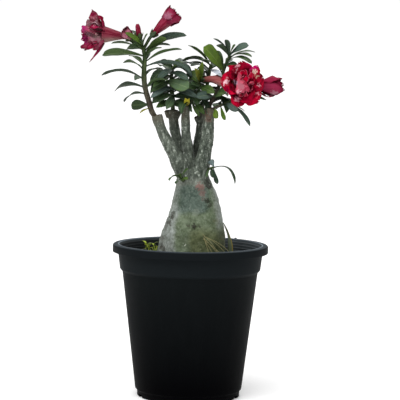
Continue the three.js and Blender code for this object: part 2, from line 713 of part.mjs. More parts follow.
const WEED_LEAF = { ...PLAIN, kind: 'strap', w: 7, bow: 1, cols: 1, root: 0.2 };
const WEED_LEAF_REACH = 8;

function weeds() {
  const made = [stem(WEED_FOOT, 1, 8)];
  const leaves = [];
  const [fx, fy] = WEED_FOOT[0];
  WEED_STEMS.forEach(([x, y, k]) => {
    const lean = draw(k + 200) * 8 - 4;
    const high = 229 + 14 * draw(k + 210);
    const start = [mix(fx, x, 0.4), mix(fy, y, 0.4), 209, 1];
    const path = [start, [x, y, 222, 0.9], [x + lean, y + lean * 0.6, high, 0.7]];
    made.push(stem(path, 2, 4));
    for (let i = 0; i < 2; i += 1) {
      const az = (k * 70 + i * 180) * RAD;
      const b = along(path, 0.98).p;
      const t = b.clone().add(V(WEED_LEAF_REACH * Math.cos(az), WEED_LEAF_REACH * Math.sin(az), 3));
      leaves.push(blade({ ...WEED_LEAF, b, t }));
    }
  });
  return fuse(made.concat(leaves));
}

// The soil's top, a low mound with lumps
function soilTop(r, a) {
  const f = r / SOIL_R;
  const lumps = 1.6 * Math.sin(4 * a + r * 0.1) * Math.sin(r * 0.07) + 1.1 * Math.sin(9 * a - r * 0.2);
  return SOIL_EDGE_Z + SOIL_MOUND * (1 - f * f) + lumps;
}

// The soil fills the pot and stays just clear of its wall
function soilBody() {
  const sides = POT_SIDES / 2;
  const low = [
    [FOOT_R - WALL - 0.4, 2.95], [FOOT_R - WALL - 0.4, 10.2], [BODY_LOW_R - WALL - 0.2, 13.2],
    [BODY_TOP_R - WALL - 1, STEP_Z - 0.2], [COLLAR_LOW_R - WALL - 0.65, STEP_Z + 4.7],
  ];
  const high = [SOIL_R - 0.7, 84, 48];
  const ring = (r, zf) => Array.from({ length: sides }, (_, j) => {
    const a = (j / sides) * 2 * Math.PI;
    return V(r * Math.cos(a), r * Math.sin(a), zf(r, a));
  });
  const rings = low.map(([r, z]) => ring(r, () => z)).concat(high.map((r) => ring(r, soilTop)));
  return ringSolid(rings);
}

// Pot: a thin turned wall with a hooked lip, and notches in the foot
function pot() {
  const profile = [
    [0, 0], [FOOT_R - 0.6, 0], [FOOT_R, FOOT_Z], [BODY_LOW_R, FOOT_Z + 3], [BODY_TOP_R, STEP_Z - 1],
    [COLLAR_LOW_R, STEP_Z + 3.5], [COLLAR_TOP_R + 1.2, LIP_UNDER_Z], [LIP_R - 2.4, LIP_UNDER_Z],
    [LIP_R - 2.2, LIP_EDGE_Z], [LIP_R, LIP_EDGE_Z], [LIP_R, POT_HEIGHT - 1.8], [LIP_R - 1.8, POT_HEIGHT],
    [LIP_INNER_R, POT_HEIGHT], [COLLAR_LOW_R - WALL - 0.2, STEP_Z + 4.4],
    [BODY_TOP_R - WALL - 0.6, STEP_Z - 0.4], [BODY_LOW_R - WALL + 0.2, 13], [FOOT_R - WALL, 10],
    [FOOT_R - WALL, FLOOR_THICK], [0, FLOOR_THICK],
  ];
  let made = turned(profile, POT_SIDES);
  for (let k = 0; k < NOTCHES; k += 1) {
    const g = new THREE.BoxGeometry(16, 13, 5.6);
    g.translate(FOOT_R, 0, 2.2);
    g.rotateZ((k + 0.5) * (360 / NOTCHES) * RAD);
    made = made.subtract(welded(g));
  }
  return fuse([made]);
}

const blooms = Object.fromEntries(Object.entries(BLOOMS).map(([name, b]) => [name, bloom(b)]));

let wood = fuse([caudex(0), ...Object.keys(BRANCHES).map(branch), ...STUBS.map((s) => stem(s, 1, 6))]);
SHOOTS.forEach((s) => shootStems(s, GAP).forEach((m) => { wood = wood.subtract(m); }));
wood = fuse([wood]);

let ground = soilBody().subtract(caudex(GAP));
STRAWS.forEach((s) => { ground = ground.subtract(stem(s, 2, 4, GAP)); });
ground = ground.subtract(stem(GRASS_HOLE, 1, 8));
ground = ground.subtract(stem(WEED_HOLE, 1, 10));

node('pot', 0x24272b, pot());
node('soil', 0x4a3b2c, fuse([ground]));
node('trunk', 0x7c8070, wood);
Object.entries(blooms).forEach(([name, shape]) => node(name, BLOOMS[name].color, shape));

node('grass_blade', 0x76805c, fuse([stem(GRASS_STEM, 1, 8), blade(GRASS)]));
node('weeds', 0x8f9a4a, weeds());
node('straws', 0xb8a887, fuse(STRAWS.map((s) => stem(s, 2, 4))));

// Leaves find room one after another, those that show before those of the rule
const grown = SHOOTS.map((shoot) => {
  const cups = shoot.stalks.map((s) => calyx(BLOOMS[s.cup].tube));
  return [...shootStems(shoot, 0), ...cups];
});
const foliage = SHOOTS.map(() => []);
[seenLeaves, ruleLeaves].forEach((leavesOf) => {
  SHOOTS.forEach((shoot, i) => {
    const others = placed.concat(...grown.filter((_, k) => k !== i), ...foliage.filter((_, k) => k !== i));
    leavesOf(shoot).forEach((s) => {
      const made = roomyLeaf(s, others, foliage[i]);
      if (made) foliage[i].push(made);
    });
  });
});
SHOOTS.forEach((shoot, i) => node(shoot.name, 0x3f5a2c, fuse([...grown[i], ...foliage[i]])));

export default group;
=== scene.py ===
"""A desert rose with a swollen caudex in a black nursery pot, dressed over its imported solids."""
import json
import math

import bpy
import numpy as np
from mathutils import Euler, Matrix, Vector
from mathutils.bvhtree import BVHTree
from mathutils.kdtree import KDTree


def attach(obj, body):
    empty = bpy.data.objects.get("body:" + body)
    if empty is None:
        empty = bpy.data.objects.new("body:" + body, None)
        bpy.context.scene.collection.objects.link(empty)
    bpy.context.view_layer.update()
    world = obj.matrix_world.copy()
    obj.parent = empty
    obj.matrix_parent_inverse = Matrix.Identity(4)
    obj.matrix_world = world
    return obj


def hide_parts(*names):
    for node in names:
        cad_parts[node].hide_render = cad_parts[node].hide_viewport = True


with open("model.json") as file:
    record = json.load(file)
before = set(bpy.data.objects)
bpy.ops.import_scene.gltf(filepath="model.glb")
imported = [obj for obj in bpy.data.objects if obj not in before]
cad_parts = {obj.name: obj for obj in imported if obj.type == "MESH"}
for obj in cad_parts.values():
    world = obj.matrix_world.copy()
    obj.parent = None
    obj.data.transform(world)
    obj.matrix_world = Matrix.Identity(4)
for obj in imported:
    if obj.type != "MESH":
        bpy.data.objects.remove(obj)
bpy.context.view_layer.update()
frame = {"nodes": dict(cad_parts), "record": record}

SLOTS = {row["node"]: row["material_slot"] for row in frame["record"]["subparts"]}
MM = 0.001
RAD = math.pi / 180

# The photo's view, in metres and degrees, and the studio round it
CAMERA_AT = (0.014, -3.0, 0.572)
CAMERA_AIM = (0.014, 0, 0.3165)
CAMERA_ROLL = 0.98
SENSOR_WIDTH = 36
SEEN_WIDTH = 0.640
SEEN_FROM = 3.0
FLOOR_HALF = 60
HORIZON = 1.02
SKY = 0.36
SUN = 2.7
SUN_TURN = (26, -7, 0)
LAMPS = (("key", (-1.3, -1.3, 2.2), 1.0, 14), ("back", (0.6, 1.6, 2.1), 1.2, 14))

# How finely the meshes are made
POT_SIDES = 180
SOIL_SIDES = 160
SOIL_STEPS = 44
CAUDEX_SIDES = 96
CAUDEX_STEPS = 90
BARK_VOXEL = 1.35
BRANCH_SIDES = 32
BRANCH_STEPS = 60
STUB_SIDES = 16
STUB_STEPS = 6
TUBE_SIDES = 30
TUBE_STEPS = 24
CUP_SIDES = 60

# Rows and columns of the blades' meshes, and their thickness in millimetres
LEAF_MESH = (16, 8, 0.5)
PETAL_MESH = (20, 14, 0.45)
LOOSE_PETAL_MESH = (16, 12, 0.45)
GRASS_MESH = (24, 8, 0.6)
WEED_LEAF_MESH = (8, 6, 0.4)
WEED_MAT_MESH = (6, 4, 0.4)

# Leaves that a rule places are numbered from RULE_START on, the second rule's from twice that
RULE_START = 40
RULE_BOW = 0.14
GOLDEN_SHARE = 0.618
LEAF_WAVE = 0.035

# The sizes of the pot and the plant, in millimetres, as in the part's source
POT_HEIGHT = 245
LIP_R = 125
COLLAR_TOP_R = 116
COLLAR_LOW_R = 113
BODY_TOP_R = 109
BODY_LOW_R = 86
FOOT_R = 83
FOOT_Z = 9
FLOOR_THICK = 2.6
LIP_UNDER_Z = 241.6
LIP_EDGE_Z = 232.6
LIP_INNER_R = 114.6
NOTCHES = 8
STEP_Z = 202
WALL = 2.2
SOIL_R = 111
SOIL_EDGE_Z = 211
SOIL_MOUND = 4
GAP = 0.3
STRAW_R = 0.6

# Where the caudex and the soil end out of sight, and where the branches take over from the caudex
UNDERGROUND_Z = 150
SOIL_FOOT_R = 80
SOIL_BEND = (106, 196)
SOIL_MIDDLE_R = 30
SOIL_MIDDLE_Z = 214
NECK_Z = 368

CAUDEX = [
    [128, 0, 0, 12], [150, 0, 0, 34], [180, 0, 0, 50], [212, 1, 0, 55], [235, 1.8, 0, 54.4],
    [251, 2.7, 0, 52.6], [267, 4.7, -1, 50], [280, 5.9, -1, 46.2], [299.5, 7.4, -1, 40.6],
    [315.6, 7.4, 0, 36.7], [331.7, 5.6, 0, 32.6], [345, 3.7, 0, 28.4], [358, 1.5, 0, 25], [368, 0, 0, 21],
]
BRANCHES = {
    "left": [
        [-4, -4, 345, 15], [-12, -8, 362, 15], [-20.5, -12, 377, 13], [-31.5, -15, 396, 10.8],
        [-45, -17, 420, 9], [-54, -18, 441, 8.4], [-57, -18, 452.5, 8.6],
    ],
    "middle": [
        [-3, 4, 345, 13], [-6, 7, 366, 11.5], [-17.6, 11, 396, 9.4], [-26.7, 14, 420, 8],
        [-31.4, 15, 447, 7.2], [-32, 15, 460, 7.6],
    ],
    "centre": [
        [0, -2, 348, 12], [-3, -3, 372, 10.4], [-6.4, -4, 396, 8.8], [-10, -4, 420, 7.6],
        [-11.5, -4, 450, 7], [-11, -4, 467.5, 7.3],
    ],
    "back": [
        [4, 5, 345, 12], [6, 9, 372, 9.6], [7.5, 14, 396, 8], [11, 17, 420, 7], [13.4, 18, 448, 6.4],
        [14, 18, 461, 6.8],
    ],
    "right": [
        [6, -4, 345, 14], [12, -8, 362, 15], [16.6, -11, 376, 13.2], [20.4, -13, 396.5, 11],
        [24.4, -14, 420.7, 9.2], [25.8, -14, 450, 8.6], [26.4, -14, 465.5, 8.8],
    ],
}
STUBS = [
    [[-38, 14, 448, 4.5], [-43, 13, 459, 3.6]], [[-26, 14, 448, 4.5], [-21, 13, 457, 3.4]],
    [[10, 16, 440, 4], [4, 12, 449, 3]], [[-33, -16, 396, 6], [-40, -24, 399, 4.4]],
    [[22, -14, 402, 6], [31, -20, 409, 4.2]],
]

# Leafy stems. Each seen leaf is [place on stem, tip x, y, z, width, bow, roll]. A rule places more:
# [count, from and to place, facing, spread, lowest and highest lean, length, width, seed]
SHOOTS = [
    {
        "name": "leafy_stem_left",
        "path": [
            [-59, -18, 449.5, 4], [-65, -18, 458, 4.4], [-70, -18, 474, 4.6], [-74.5, -19, 489, 4.5],
            [-77.5, -20, 504, 4.3], [-78.3, -20, 522, 4], [-77.5, -20, 545, 3.6], [-81, -20, 561, 2.6],
        ],
        "leaves": [
            [0.93, -131.7, 4, 564.4, 12, 5, 15], [0.86, -144.2, -32, 546, 21, 9, 30],
            [0.76, -100, -52, 546, 14, 4, 0], [0.62, -145, -26, 514, 18, 12, 12],
            [0.5, -123, -46, 490, 17, 9, 20], [0.4, -107, -52, 474, 15, 7, 10],
            [0.24, -97, -40, 468, 17, 1, 82], [0.2, -84, -30, 455, 7, 1, 40],
            [0.88, -44, -34, 574, 16, 5, -40], [0.92, -12, -12, 579, 18, 10, -40],
            [0.84, -51, -44, 559, 13, 4, 0], [0.8, -19, -38, 557, 19, 9, -24],
            [0.76, -3, -24, 519, 25, 18, -30], [0.97, -110, -26, 585, 13, 3, 40],
            [0.97, -59, -46, 583, 12, 2, 50], [0.97, -73, -44, 580, 11, 2, 60],
            [0.95, -104, -52, 557, 20, 4, 40],
        ],
        "rules": [[7, 0.5, 0.94, 95, 150, -4, 34, 48, 18, 10]],
        "stalks": [
            {"path": [[-80.5, -20, 558, 2.2], [-90, -20, 569, 2.2]], "cup": "bloom_left"},
            {"path": [[-80, -20, 556, 2], [-87, -30, 562, 2]], "cup": "bud_half_open"},
            {"path": [[-81, -20, 560, 1.8], [-85, -26, 565, 1.8]], "cup": "bud_small"},
            {"path": [[-79.5, -20, 556, 2.2], [-72, -18, 570, 2.2]], "cup": "bloom_top"},
        ],
    },
    {
        "name": "leafy_stem_middle",
        "path": [
            [-32, 15, 457, 3.4], [-32.5, 14, 470, 3.5], [-34, 12, 489, 3.4], [-35.5, 8, 508, 3.2],
            [-33, 5, 530, 2.4],
        ],
        "leaves": [
            [0.8, -5, -28, 499, 26, 3, 62], [0.92, -8, -12, 508, 24, 11, 20],
            [0.85, -68, -7, 499, 20, 13, -28], [0.68, -68, -5, 486, 20, 10, -30],
            [0.5, -64, -12, 474, 18, 7, -38], [0.7, -57, -26, 491, 22, 4, -56],
            [0.4, -2, -24, 486, 24, 5, 42], [0.3, -50, -18, 465, 17, 3, -46],
            [0.28, -12, -18, 468, 17, 3, 52], [0.97, -48, -12, 537, 14, 3, -50],
            [0.95, -14, 0, 530, 16, 4, 30],
        ],
        "rules": [
            [8, 0.3, 0.94, 90, 190, -12, 8, 50, 22, 30],
            [7, 0.34, 0.9, -90, 170, -30, -8, 46, 23, 36],
        ],
        "stalks": [],
    },
    {
        "name": "leafy_stem_centre",
        "path": [
            [-8.5, -5, 464.5, 3], [-3, -7, 474, 3.1], [4.9, -6, 484, 3], [10, -4, 496, 2.8],
            [10, -2, 505, 2.4],
        ],
        "leaves": [
            [0.35, 19, -24, 455, 10, 2, 50], [0.26, 11, -20, 451, 7, 2, 50],
            [0.35, -14, -24, 481, 9, 2, 60], [0.24, -14, -24, 470, 7, 1, 60],
            [0.95, 3, -14, 529, 12, 2, 72], [0.98, 15, -14, 540, 10, 2, 74],
            [0.9, -13, -12, 520, 20, 5, -36], [0.62, -31, -26, 488, 20, 5, -36],
            [0.85, -4, -32, 499, 18, 4, -40], [0.8, 22, -34, 496, 17, 3, 50],
            [0.2, -4, -20, 456, 8, 1, 60],
        ],
        "rules": [
            [5, 0.45, 0.95, 90, 170, -5, 16, 44, 20, 50],
            [5, 0.4, 0.8, -90, 150, -34, -10, 40, 20, 56],
        ],
        "stalks": [{"path": [[10, -3, 500, 2.4], [8.4, -4, 506, 2.4]], "cup": "bloom_double"}],
    },
    {
        "name": "leafy_stem_back",
        "path": [
            [14, 18, 458, 3.2], [17, 19, 474, 3.3], [21, 20, 490, 3.2], [24, 20, 513, 3],
            [28, 16, 534, 2.4],
        ],
        "leaves": [
            [0.88, -12, 4, 535, 11, 6, 12], [0.95, -9, 6, 563.6, 11, 5, 18],
            [0.88, 45, -18, 511, 12, 3, -30], [0.72, 16, -14, 508, 16, 3, 60],
            [0.7, 3, -4, 517, 20, 6, -30], [0.55, 0, -4, 498, 20, 5, -32],
            [0.45, 2, -6, 484, 20, 4, -36],
        ],
        "rules": [[9, 0.28, 0.97, 95, 190, -10, 8, 50, 22, 70]],
        "stalks": [],
    },
    {
        "name": "leafy_stem_right",
        "path": [
            [23.4, -11, 462.5, 3], [29, -10, 474, 3.2], [36, -6, 486, 3.2], [42, 0, 503, 3],
            [48, 4, 524, 2.8], [54, 3, 541, 2.3], [58, 2, 550, 1.6],
        ],
        "leaves": [
            [0.66, 14, -16, 563, 28, 3, -78], [0.68, 38, 10, 556, 15, 3, -60],
            [0.96, 31, -4, 575, 9, 4, 10], [0.97, 46, -12, 571, 9, 3, 14],
            [0.93, 37, -22, 565, 10, 4, 20], [0.98, 62, -8, 568, 9, 1, 60],
            [0.95, 87, -14, 565, 18, 4, 55], [0.9, 92, -20, 547, 12, 5, 12],
            [0.82, 92, -28, 537, 14, 8, 14], [0.28, 8, -36, 480, 25, 4, -50],
            [0.33, 54, -32, 488, 22, 3, 50], [0.75, 68, -16, 531, 14, 3, 40],
        ],
        "rules": [
            [7, 0.35, 0.92, 80, 170, -5, 22, 46, 18, 90],
            [4, 0.26, 0.5, -95, 130, -30, -8, 38, 20, 96],
        ],
        "stalks": [{"path": [[41.5, 0, 501, 2.2], [48, 9, 503, 2.2]], "cup": "bloom_right"}],
    },
    {
        "name": "leafy_stem_low_right",
        "path": [
            [30, -17.4, 462.5, 2.4], [36, -20, 466, 2.4], [44, -20, 469.5, 2.3], [54, -19, 474, 2.2],
            [64, -18, 478, 1.7],
        ],
        "leaves": [
            [0.98, 117, -10, 479, 18, 5, 20], [0.72, 71, -44, 462, 17, 3, 52],
            [0.55, 90.6, -44, 438.5, 14, 9, 16], [0.5, 52, -36, 447, 8, 1, 70],
            [0.2, 40, -34, 450, 12, 1, 66], [0.9, 102, -40, 475, 14, 4, 30],
        ],
        "rules": [[5, 0.4, 0.95, 80, 150, -10, 20, 44, 17, 110]],
        "stalks": [],
    },
    {
        "name": "neck_sprout_left",
        "path": [[-12, -21, 350, 3], [-14.5, -27, 351, 3.2], [-16, -30.5, 353, 2.4]],
        "leaves": [
            [0.9, -5, -36, 369, 8, 2, 40], [0.9, -35, -42, 350, 8, 6, 20],
            [0.8, -24, -46, 346, 8, 2, 30], [0.9, -20, -38, 360, 7, 2, 30],
            [0.8, -6, -40, 352, 7, 2, 30],
        ],
        "rules": [],
        "stalks": [],
    },
    {
        "name": "neck_sprout_right",
        "path": [[22, -14, 366, 2.2], [29, -18, 368.5, 2.2], [36, -20, 371.5, 1.6]],
        "leaves": [
            [0.9, 69, -34, 346, 8, 12, 10], [0.85, 41, -36, 345.5, 8, -6, 20],
            [0.7, 35, -32, 355, 8, 3, 30], [0.5, 27, -34, 356, 7, 2, 30],
            [0.95, 29, -30, 382, 11, 2, 40],
        ],
        "rules": [],
        "stalks": [],
    },
]

# Blooms: a tube path, and layers of petals round its mouth. A layer is
# [count, first angle, root radius, root height, tip radius, tip height, width, bow, swirl]
BLOOMS = {
    "bloom_left": {
        "tube": [
            [-99.6, -21.8, 574, 2.6], [-113, -23, 576.5, 4.6], [-129, -24, 577.5, 8.2],
            [-146, -25, 578, 12.5],
        ],
        "layers": [
            [5, 30, 10.5, -3, 38, 12, 25, 5, 8], [5, 66, 8, -2, 27, 23, 24, 3, -8],
            [3, 20, 4, -2, 9, 30, 20, 1, 16],
        ],
        "ruffle": 2.4,
        "turn": 42,
    },
    "bud_half_open": {
        "tube": [[-93, -36, 569, 2.4], [-97, -38, 573.5, 5], [-102, -40, 578, 6.8]],
        "layers": [[5, 0, 5.2, -2, 7, 12, 12, -1.5, 25]],
        "ruffle": 0.8,
        "turn": 15,
    },
    "bud_small": {
        "tube": [
            [-86.4, -30, 574, 2.1], [-87, -30.6, 579, 4.4], [-88, -31.4, 586, 4], [-89, -32, 592, 2.2],
            [-89.6, -32, 596, 0.8],
        ],
        "layers": [],
        "ruffle": 0,
        "turn": 0,
    },
    "bloom_top": {
        "tube": [
            [-66, -17, 578.5, 2.6], [-59.5, -17.4, 585.5, 5.6], [-51, -17.8, 594.5, 8.2],
            [-43, -18, 602.5, 10],
        ],
        "layers": [[5, 0, 8.4, -3, 12.5, 19, 18, -2.5, 22], [3, 40, 5, -2, 6, 22, 14, -2, 30]],
        "ruffle": 1.4,
        "turn": 15,
    },
    "bloom_double": {
        "tube": [
            [12.8, -5.6, 510, 2.8], [32, -12, 510.5, 5.4], [54, -25, 507.5, 9.6], [71, -38, 504.5, 13],
            [75, -49.5, 503.5, 13.5],
        ],
        "layers": [
            [5, 14, 11, -3, 35, 4, 34, 4, 10], [5, 74, 9, -2, 31, 11, 30, 4, -14],
            [4, 20, 6, -2, 17, 16, 23, 0, 20], [1, 65, 4, -2, 3, 19, 24, 3, 60],
        ],
        "ruffle": 2.4,
        "turn": 15,
    },
    "bloom_right": {
        "tube": [[58.6, 11, 503.8, 2.6], [78, 9, 503, 5], [96, 4, 501.5, 8], [109, 0, 500, 10.5]],
        "layers": [[5, 36, 8, -3, 14, 31, 20, -4, 10], [4, 0, 5, -2, 9, 25, 16, -2, 20]],
        "ruffle": 1.8,
        "turn": 15,
    },
}
STRAWS = [
    [[36, -66, 207, STRAW_R], [30, -63, 235, STRAW_R], [21.5, -58.5, 261, STRAW_R]],
    [[47, -64, 207, STRAW_R], [36, -62, 236, STRAW_R], [21, -58.5, 260, STRAW_R]],
    [[58, -60, 207, STRAW_R], [44, -61, 236, STRAW_R], [20.5, -58.5, 262, STRAW_R]],
    [[67, -54, 207, STRAW_R], [52, -58, 233, STRAW_R], [21, -58, 259, STRAW_R]],
]
WEED_STEMS = [[-59, 12, 0], [-65, 6, 1], [-69, 18, 2]]
# Turns and lifts in degrees that the part's source tries for a leaf until it has room
TURNS = [
    [0, 0], [8, 0], [-8, 0], [0, 8], [0, -8], [12, 10], [-12, 10], [15, -10], [-15, -10], [24, 0], [-24, 0],
    [0, 20], [0, -20], [30, 14], [-30, 14], [40, 0], [-40, 0], [48, 20], [-48, 20], [60, 0], [-60, 0],
    [75, 15], [-75, 15],
]


# Small number helpers
def draw(k):
    """A scattered number from 0 to 1, always the same for the same k."""
    s = math.sin(k * 12.9898 + 4.1414) * 43758.5453
    return s - math.floor(s)


def mix(a, b, f):
    return a + (b - a) * f


def unit(v):
    return v / np.linalg.norm(v, axis=-1, keepdims=True)


def ramp(x, lo, hi):
    """0 below lo, 1 above hi, and smooth between."""
    f = np.clip((x - lo) / (hi - lo), 0, 1)
    return f * f * (3 - 2 * f)


def along(path, t):
    """Point and radius at t on a smooth curve through [x, y, z, radius] points."""
    pts = np.array(path, float)
    n = len(pts) - 1
    s = min(max(t, 0) * n, n - 1e-9)
    i = int(math.floor(s))
    f = s - i
    p0, p1, p2, p3 = pts[max(i - 1, 0)], pts[i], pts[i + 1], pts[min(i + 2, n)]
    m1 = (p2 - p0) / 2
    m2 = (p3 - p1) / 2
    f2, f3 = f * f, f * f * f
    p = (2 * f3 - 3 * f2 + 1) * p1 + (f3 - 2 * f2 + f) * m1 + (3 * f2 - 2 * f3) * p2 + (f3 - f2) * m2
    return p[:3], mix(p1[3], p2[3], f)


def angles(count):
    """This many angles spread evenly round a circle."""
    return np.arange(count) / count * 2 * math.pi


def heading(path, t):
    """The way that the path runs at t."""
    return unit(along(path, min(t + 0.01, 1))[0] - along(path, max(t - 0.01, 0))[0])


def lumps(points, size, seed=0.0):
    """Smooth uneven values about zero at points, for dents and bulges of about this size in mm."""
    p = np.asarray(points, float) * (2 * math.pi / size)
    x, y, z = p[..., 0] + seed, p[..., 1] - seed * 1.7, p[..., 2] + seed * 0.6
    a = np.sin(x + 1.3 * np.sin(0.7 * y + 0.4 * z)) * np.cos(0.9 * y - 0.5 * x + 0.8 * np.sin(z * 0.6))
    b = np.sin(1.7 * z + 0.8 * x - 1.1 * np.sin(1.3 * y)) * np.cos(1.4 * x + 1.9 * y + 0.5)
    return 0.6 * a + 0.4 * b


def place_at(px, py, y):
    """The point at depth y that shows at this place of the picture, in mm."""
    return np.array([(px - 190.3 - 0.0171 * (250 - py)) * 1.6, y, (396 - py) * 1.6104 + 0.0275 * (px - 189)])


# Blades: leaves, petals and weeds. An outline gives a blade's half width at each t from root to tip
def bellied(root, widest, swell, blunt, least, taper=0.5):
    """An outline that swells from its root to its widest place and then closes to its tip."""
    def outline(t):
        rise = root + (1 - root) * np.sin((math.pi / 2) * np.clip(t / widest, 0, 1)) ** swell
        gone = np.clip(t - widest, 0, 1) / (1 - widest)
        end = np.clip(1 - gone ** blunt, 0, 1) ** taper
        return np.where(t < widest, rise, np.maximum(end, least))

    return outline


def pointed_outline(t):
    rise = 0.24 + 0.76 * np.sin((math.pi / 2) * np.clip(t / 0.55, 0, 1))
    end = 1 - 0.86 * (np.clip(t - 0.55, 0, 1) / 0.45) ** 1.7
    return np.where(t < 0.55, rise, end)


def trumpet_outline(t):
    end = np.sqrt(np.clip(1 - 0.7 * (np.clip(t - 0.78, 0, 1) / 0.22) ** 2.4, 0, 1))
    return (0.66 + 0.34 * np.clip(t / 0.8, 0, 1)) * end


def fan_outline(t):
    return 0.16 + 0.84 * np.clip(t / 0.86, 0, 1) ** 0.9 - 0.3 * (np.clip(t - 0.86, 0, 1) / 0.14) ** 2


def strap_outline(t):
    belly = 0.62 + 0.38 * np.sin(math.pi * np.clip(t / 0.7, 0, 1))
    return np.maximum(belly * np.sqrt(np.clip(1 - t, 0, 1)), 0.08)


OUTLINES = {
    "leaf": bellied(0.13, 0.66, 1.5, 2.3, 0.06), "blunt": bellied(0.13, 0.78, 1.3, 2.2, 0.06),
    "tipped": bellied(0.13, 0.6, 1.3, 2, 0.05, 0.85), "petal": bellied(0.24, 0.62, 1, 2.6, 0.22),
    "pointed": pointed_outline, "trumpet": trumpet_outline, "fan": fan_outline, "strap": strap_outline,
}
# A blade runs from b to t with its width w; the other values bend its middle surface
PLAIN = {
    "kind": "leaf", "fold": 12, "cup": 0, "wave": 0, "waves": 1.5, "phase": 0,
    "thick": 0.9, "root": 0.9, "sweep": 0, "bow": 0, "roll": 0, "up": np.array([0.0, 0, 1]),
}
FACT_NAMES = ["along", "across", "under", "tint", "dice", "layer"]


def blade_frame(s, t):
    """Centre point, side direction and face normal of a blade at each t."""
    t = np.asarray(t, float)[..., None]
    chord = s["t"] - s["b"]
    c = unit(chord)
    n0 = unit(s["up"] - c * np.dot(s["up"], c))
    s0 = np.cross(c, n0)
    roll = s["roll"] * RAD
    n = n0 * math.cos(roll) + s0 * math.sin(roll)
    w = np.cross(c, n)
    lift, slope = 4 * t * (1 - t), 4 * (1 - 2 * t)
    p = s["b"] + chord * t + n * lift * s["bow"] + w * lift * s["sweep"]
    d = unit(chord + n * slope * s["bow"] + w * slope * s["sweep"])
    side = unit(np.cross(d, n))
    return p, side, np.cross(side, d)


def blade_skin(s, t, v, frills=0.0):
    """Middle surface and face normal of a blade at along-values t and across-values v."""
    p, side, face = blade_frame(s, t)
    h = (s["w"] / 2) * OUTLINES[s["kind"]](t)
    a = np.abs(v)
    shift = np.where(v > 0, 0, 2.1)
    env = np.sin(np.clip(t * 1.2, 0, 1) * (math.pi / 2))
    up = h * (a * math.sin(s["fold"] * RAD) + a * a * s["cup"])
    up = up + s["wave"] * a ** 1.5 * env * np.sin(2 * math.pi * s["waves"] * t + s["phase"] + shift)
    if frills:
        edge = a ** 3 * np.clip(t * 1.4 - 0.3, 0, 1) + 0.7 * np.clip(t * 3 - 2, 0, 1) * (1 - a)
        up = up + frills * edge * np.sin(2 * math.pi * 3.6 * t + 1.9 * s["phase"] + 5.2 * v)
        up = up + 0.5 * frills * edge * np.sin(2 * math.pi * 6.4 * t - s["phase"] + 11 * v)
    across = h * v * math.cos(s["fold"] * RAD)
    return p + side * across[..., None] + face * up[..., None], face


def cad_tip_corners(s):
    """The four corner points that the plain solid of this leaf has at its tip."""
    t = np.array([1.0, 1.0])
    v = np.array([-1.0, 1.0])
    q, face = blade_skin(s, t, v)
    return np.concatenate([q + face * s["thick"] / 2, q - face * s["thick"] / 2])


class Blades:
    """Collects fine blades and makes one mesh of them."""

    def __init__(self):
        self.points, self.faces, self.facts = [], [], []
        self.count = 0

    def add(self, s, rows, cols, thin, frills=0.0, tint=0.5, dice=0.5, ragged=0.0, layer=0.0):
        """Adds the blade s as a closed skin round its middle surface."""
        t = np.linspace(0, 1, rows + 1) ** 0.9
        v = np.linspace(-1, 1, cols + 1)
        tt, vv = np.meshgrid(t, v, indexing="ij")
        if ragged:
            notches = np.sin(7.3 * vv + 2.7 * s["phase"]) + 0.7 * np.sin(17 * vv + s["phase"]) - 1.0
            tt = np.clip(tt + ragged * notches * tt ** 6, 0, 1)
        q, face = blade_skin(s, tt, vv, frills)
        du = np.gradient(q, axis=0)
        dv = np.gradient(q, axis=1)
        normal = unit(np.cross(dv, du) + 1e-9)
        flip = np.sign((normal * face).sum(-1, keepdims=True))
        normal = normal * np.where(flip == 0, 1, flip)
        thick = (thin / 2) * (1 + 0.5 * (1 - np.abs(vv))) + s["root"] * (1 - tt) ** 6
        thick = thick * np.where(np.abs(vv) > 0.999, 0.55, 1)
        top = (q + normal * thick[..., None]).reshape(-1, 3)
        low = (q - normal * thick[..., None]).reshape(-1, 3)
        m, n = cols + 1, (rows + 1) * (cols + 1)
        base = self.count
        i, j = np.meshgrid(np.arange(rows), np.arange(cols), indexing="ij")
        a = (i * m + j).ravel()
        quads = [np.stack([a, a + 1, a + m + 1, a + m], 1)]
        quads += [np.stack([n + a, n + a + m, n + a + m + 1, n + a + 1], 1)]
        left = np.arange(rows) * m
        right = left + cols
        quads += [np.stack([left, left + m, n + left + m, n + left], 1)]
        quads += [np.stack([right, n + right, n + right + m, right + m], 1)]
        root = np.arange(cols)
        tip = rows * m + root
        quads += [np.stack([root, n + root, n + root + 1, root + 1], 1)]
        quads += [np.stack([tip, tip + 1, n + tip + 1, n + tip], 1)]
        faces = np.concatenate(quads)
        # The grid's turning sense decides which way round the faces go
        sense = np.dot(np.cross(top[1] - top[0], top[m] - top[0]), face[0, 0])
        if sense < 0:
            faces = faces[:, ::-1]
        self.points.append(np.concatenate([top, low]))
        self.faces.append(faces + base)
        under = np.repeat([0.0, 1.0], n)
        same = [np.full(2 * n, value) for value in (tint, dice, layer)]
        self.facts.append(np.stack([np.tile(tt.ravel(), 2), np.tile(vv.ravel(), 2), under, *same], 1))
        self.count += 2 * n

    def mesh(self, name):
        parts = (np.concatenate(part) for part in (self.points, self.faces, self.facts))
        return plain_mesh(name, *parts)


def part_mesh(name, mesh, wanted):
    """A mesh of the faces that are wanted."""
    kept = [p for p in mesh.polygons if wanted(p)]
    used = sorted({v for p in kept for v in p.vertices})
    index = {v: i for i, v in enumerate(used)}
    part = bpy.data.meshes.new(name)
    faces = [[index[v] for v in p.vertices] for p in kept]
    part.from_pydata([mesh.vertices[v].co[:] for v in used], [], faces)
    return part


def shade_smooth(mesh):
    mesh.polygons.foreach_set("use_smooth", [True] * len(mesh.polygons))


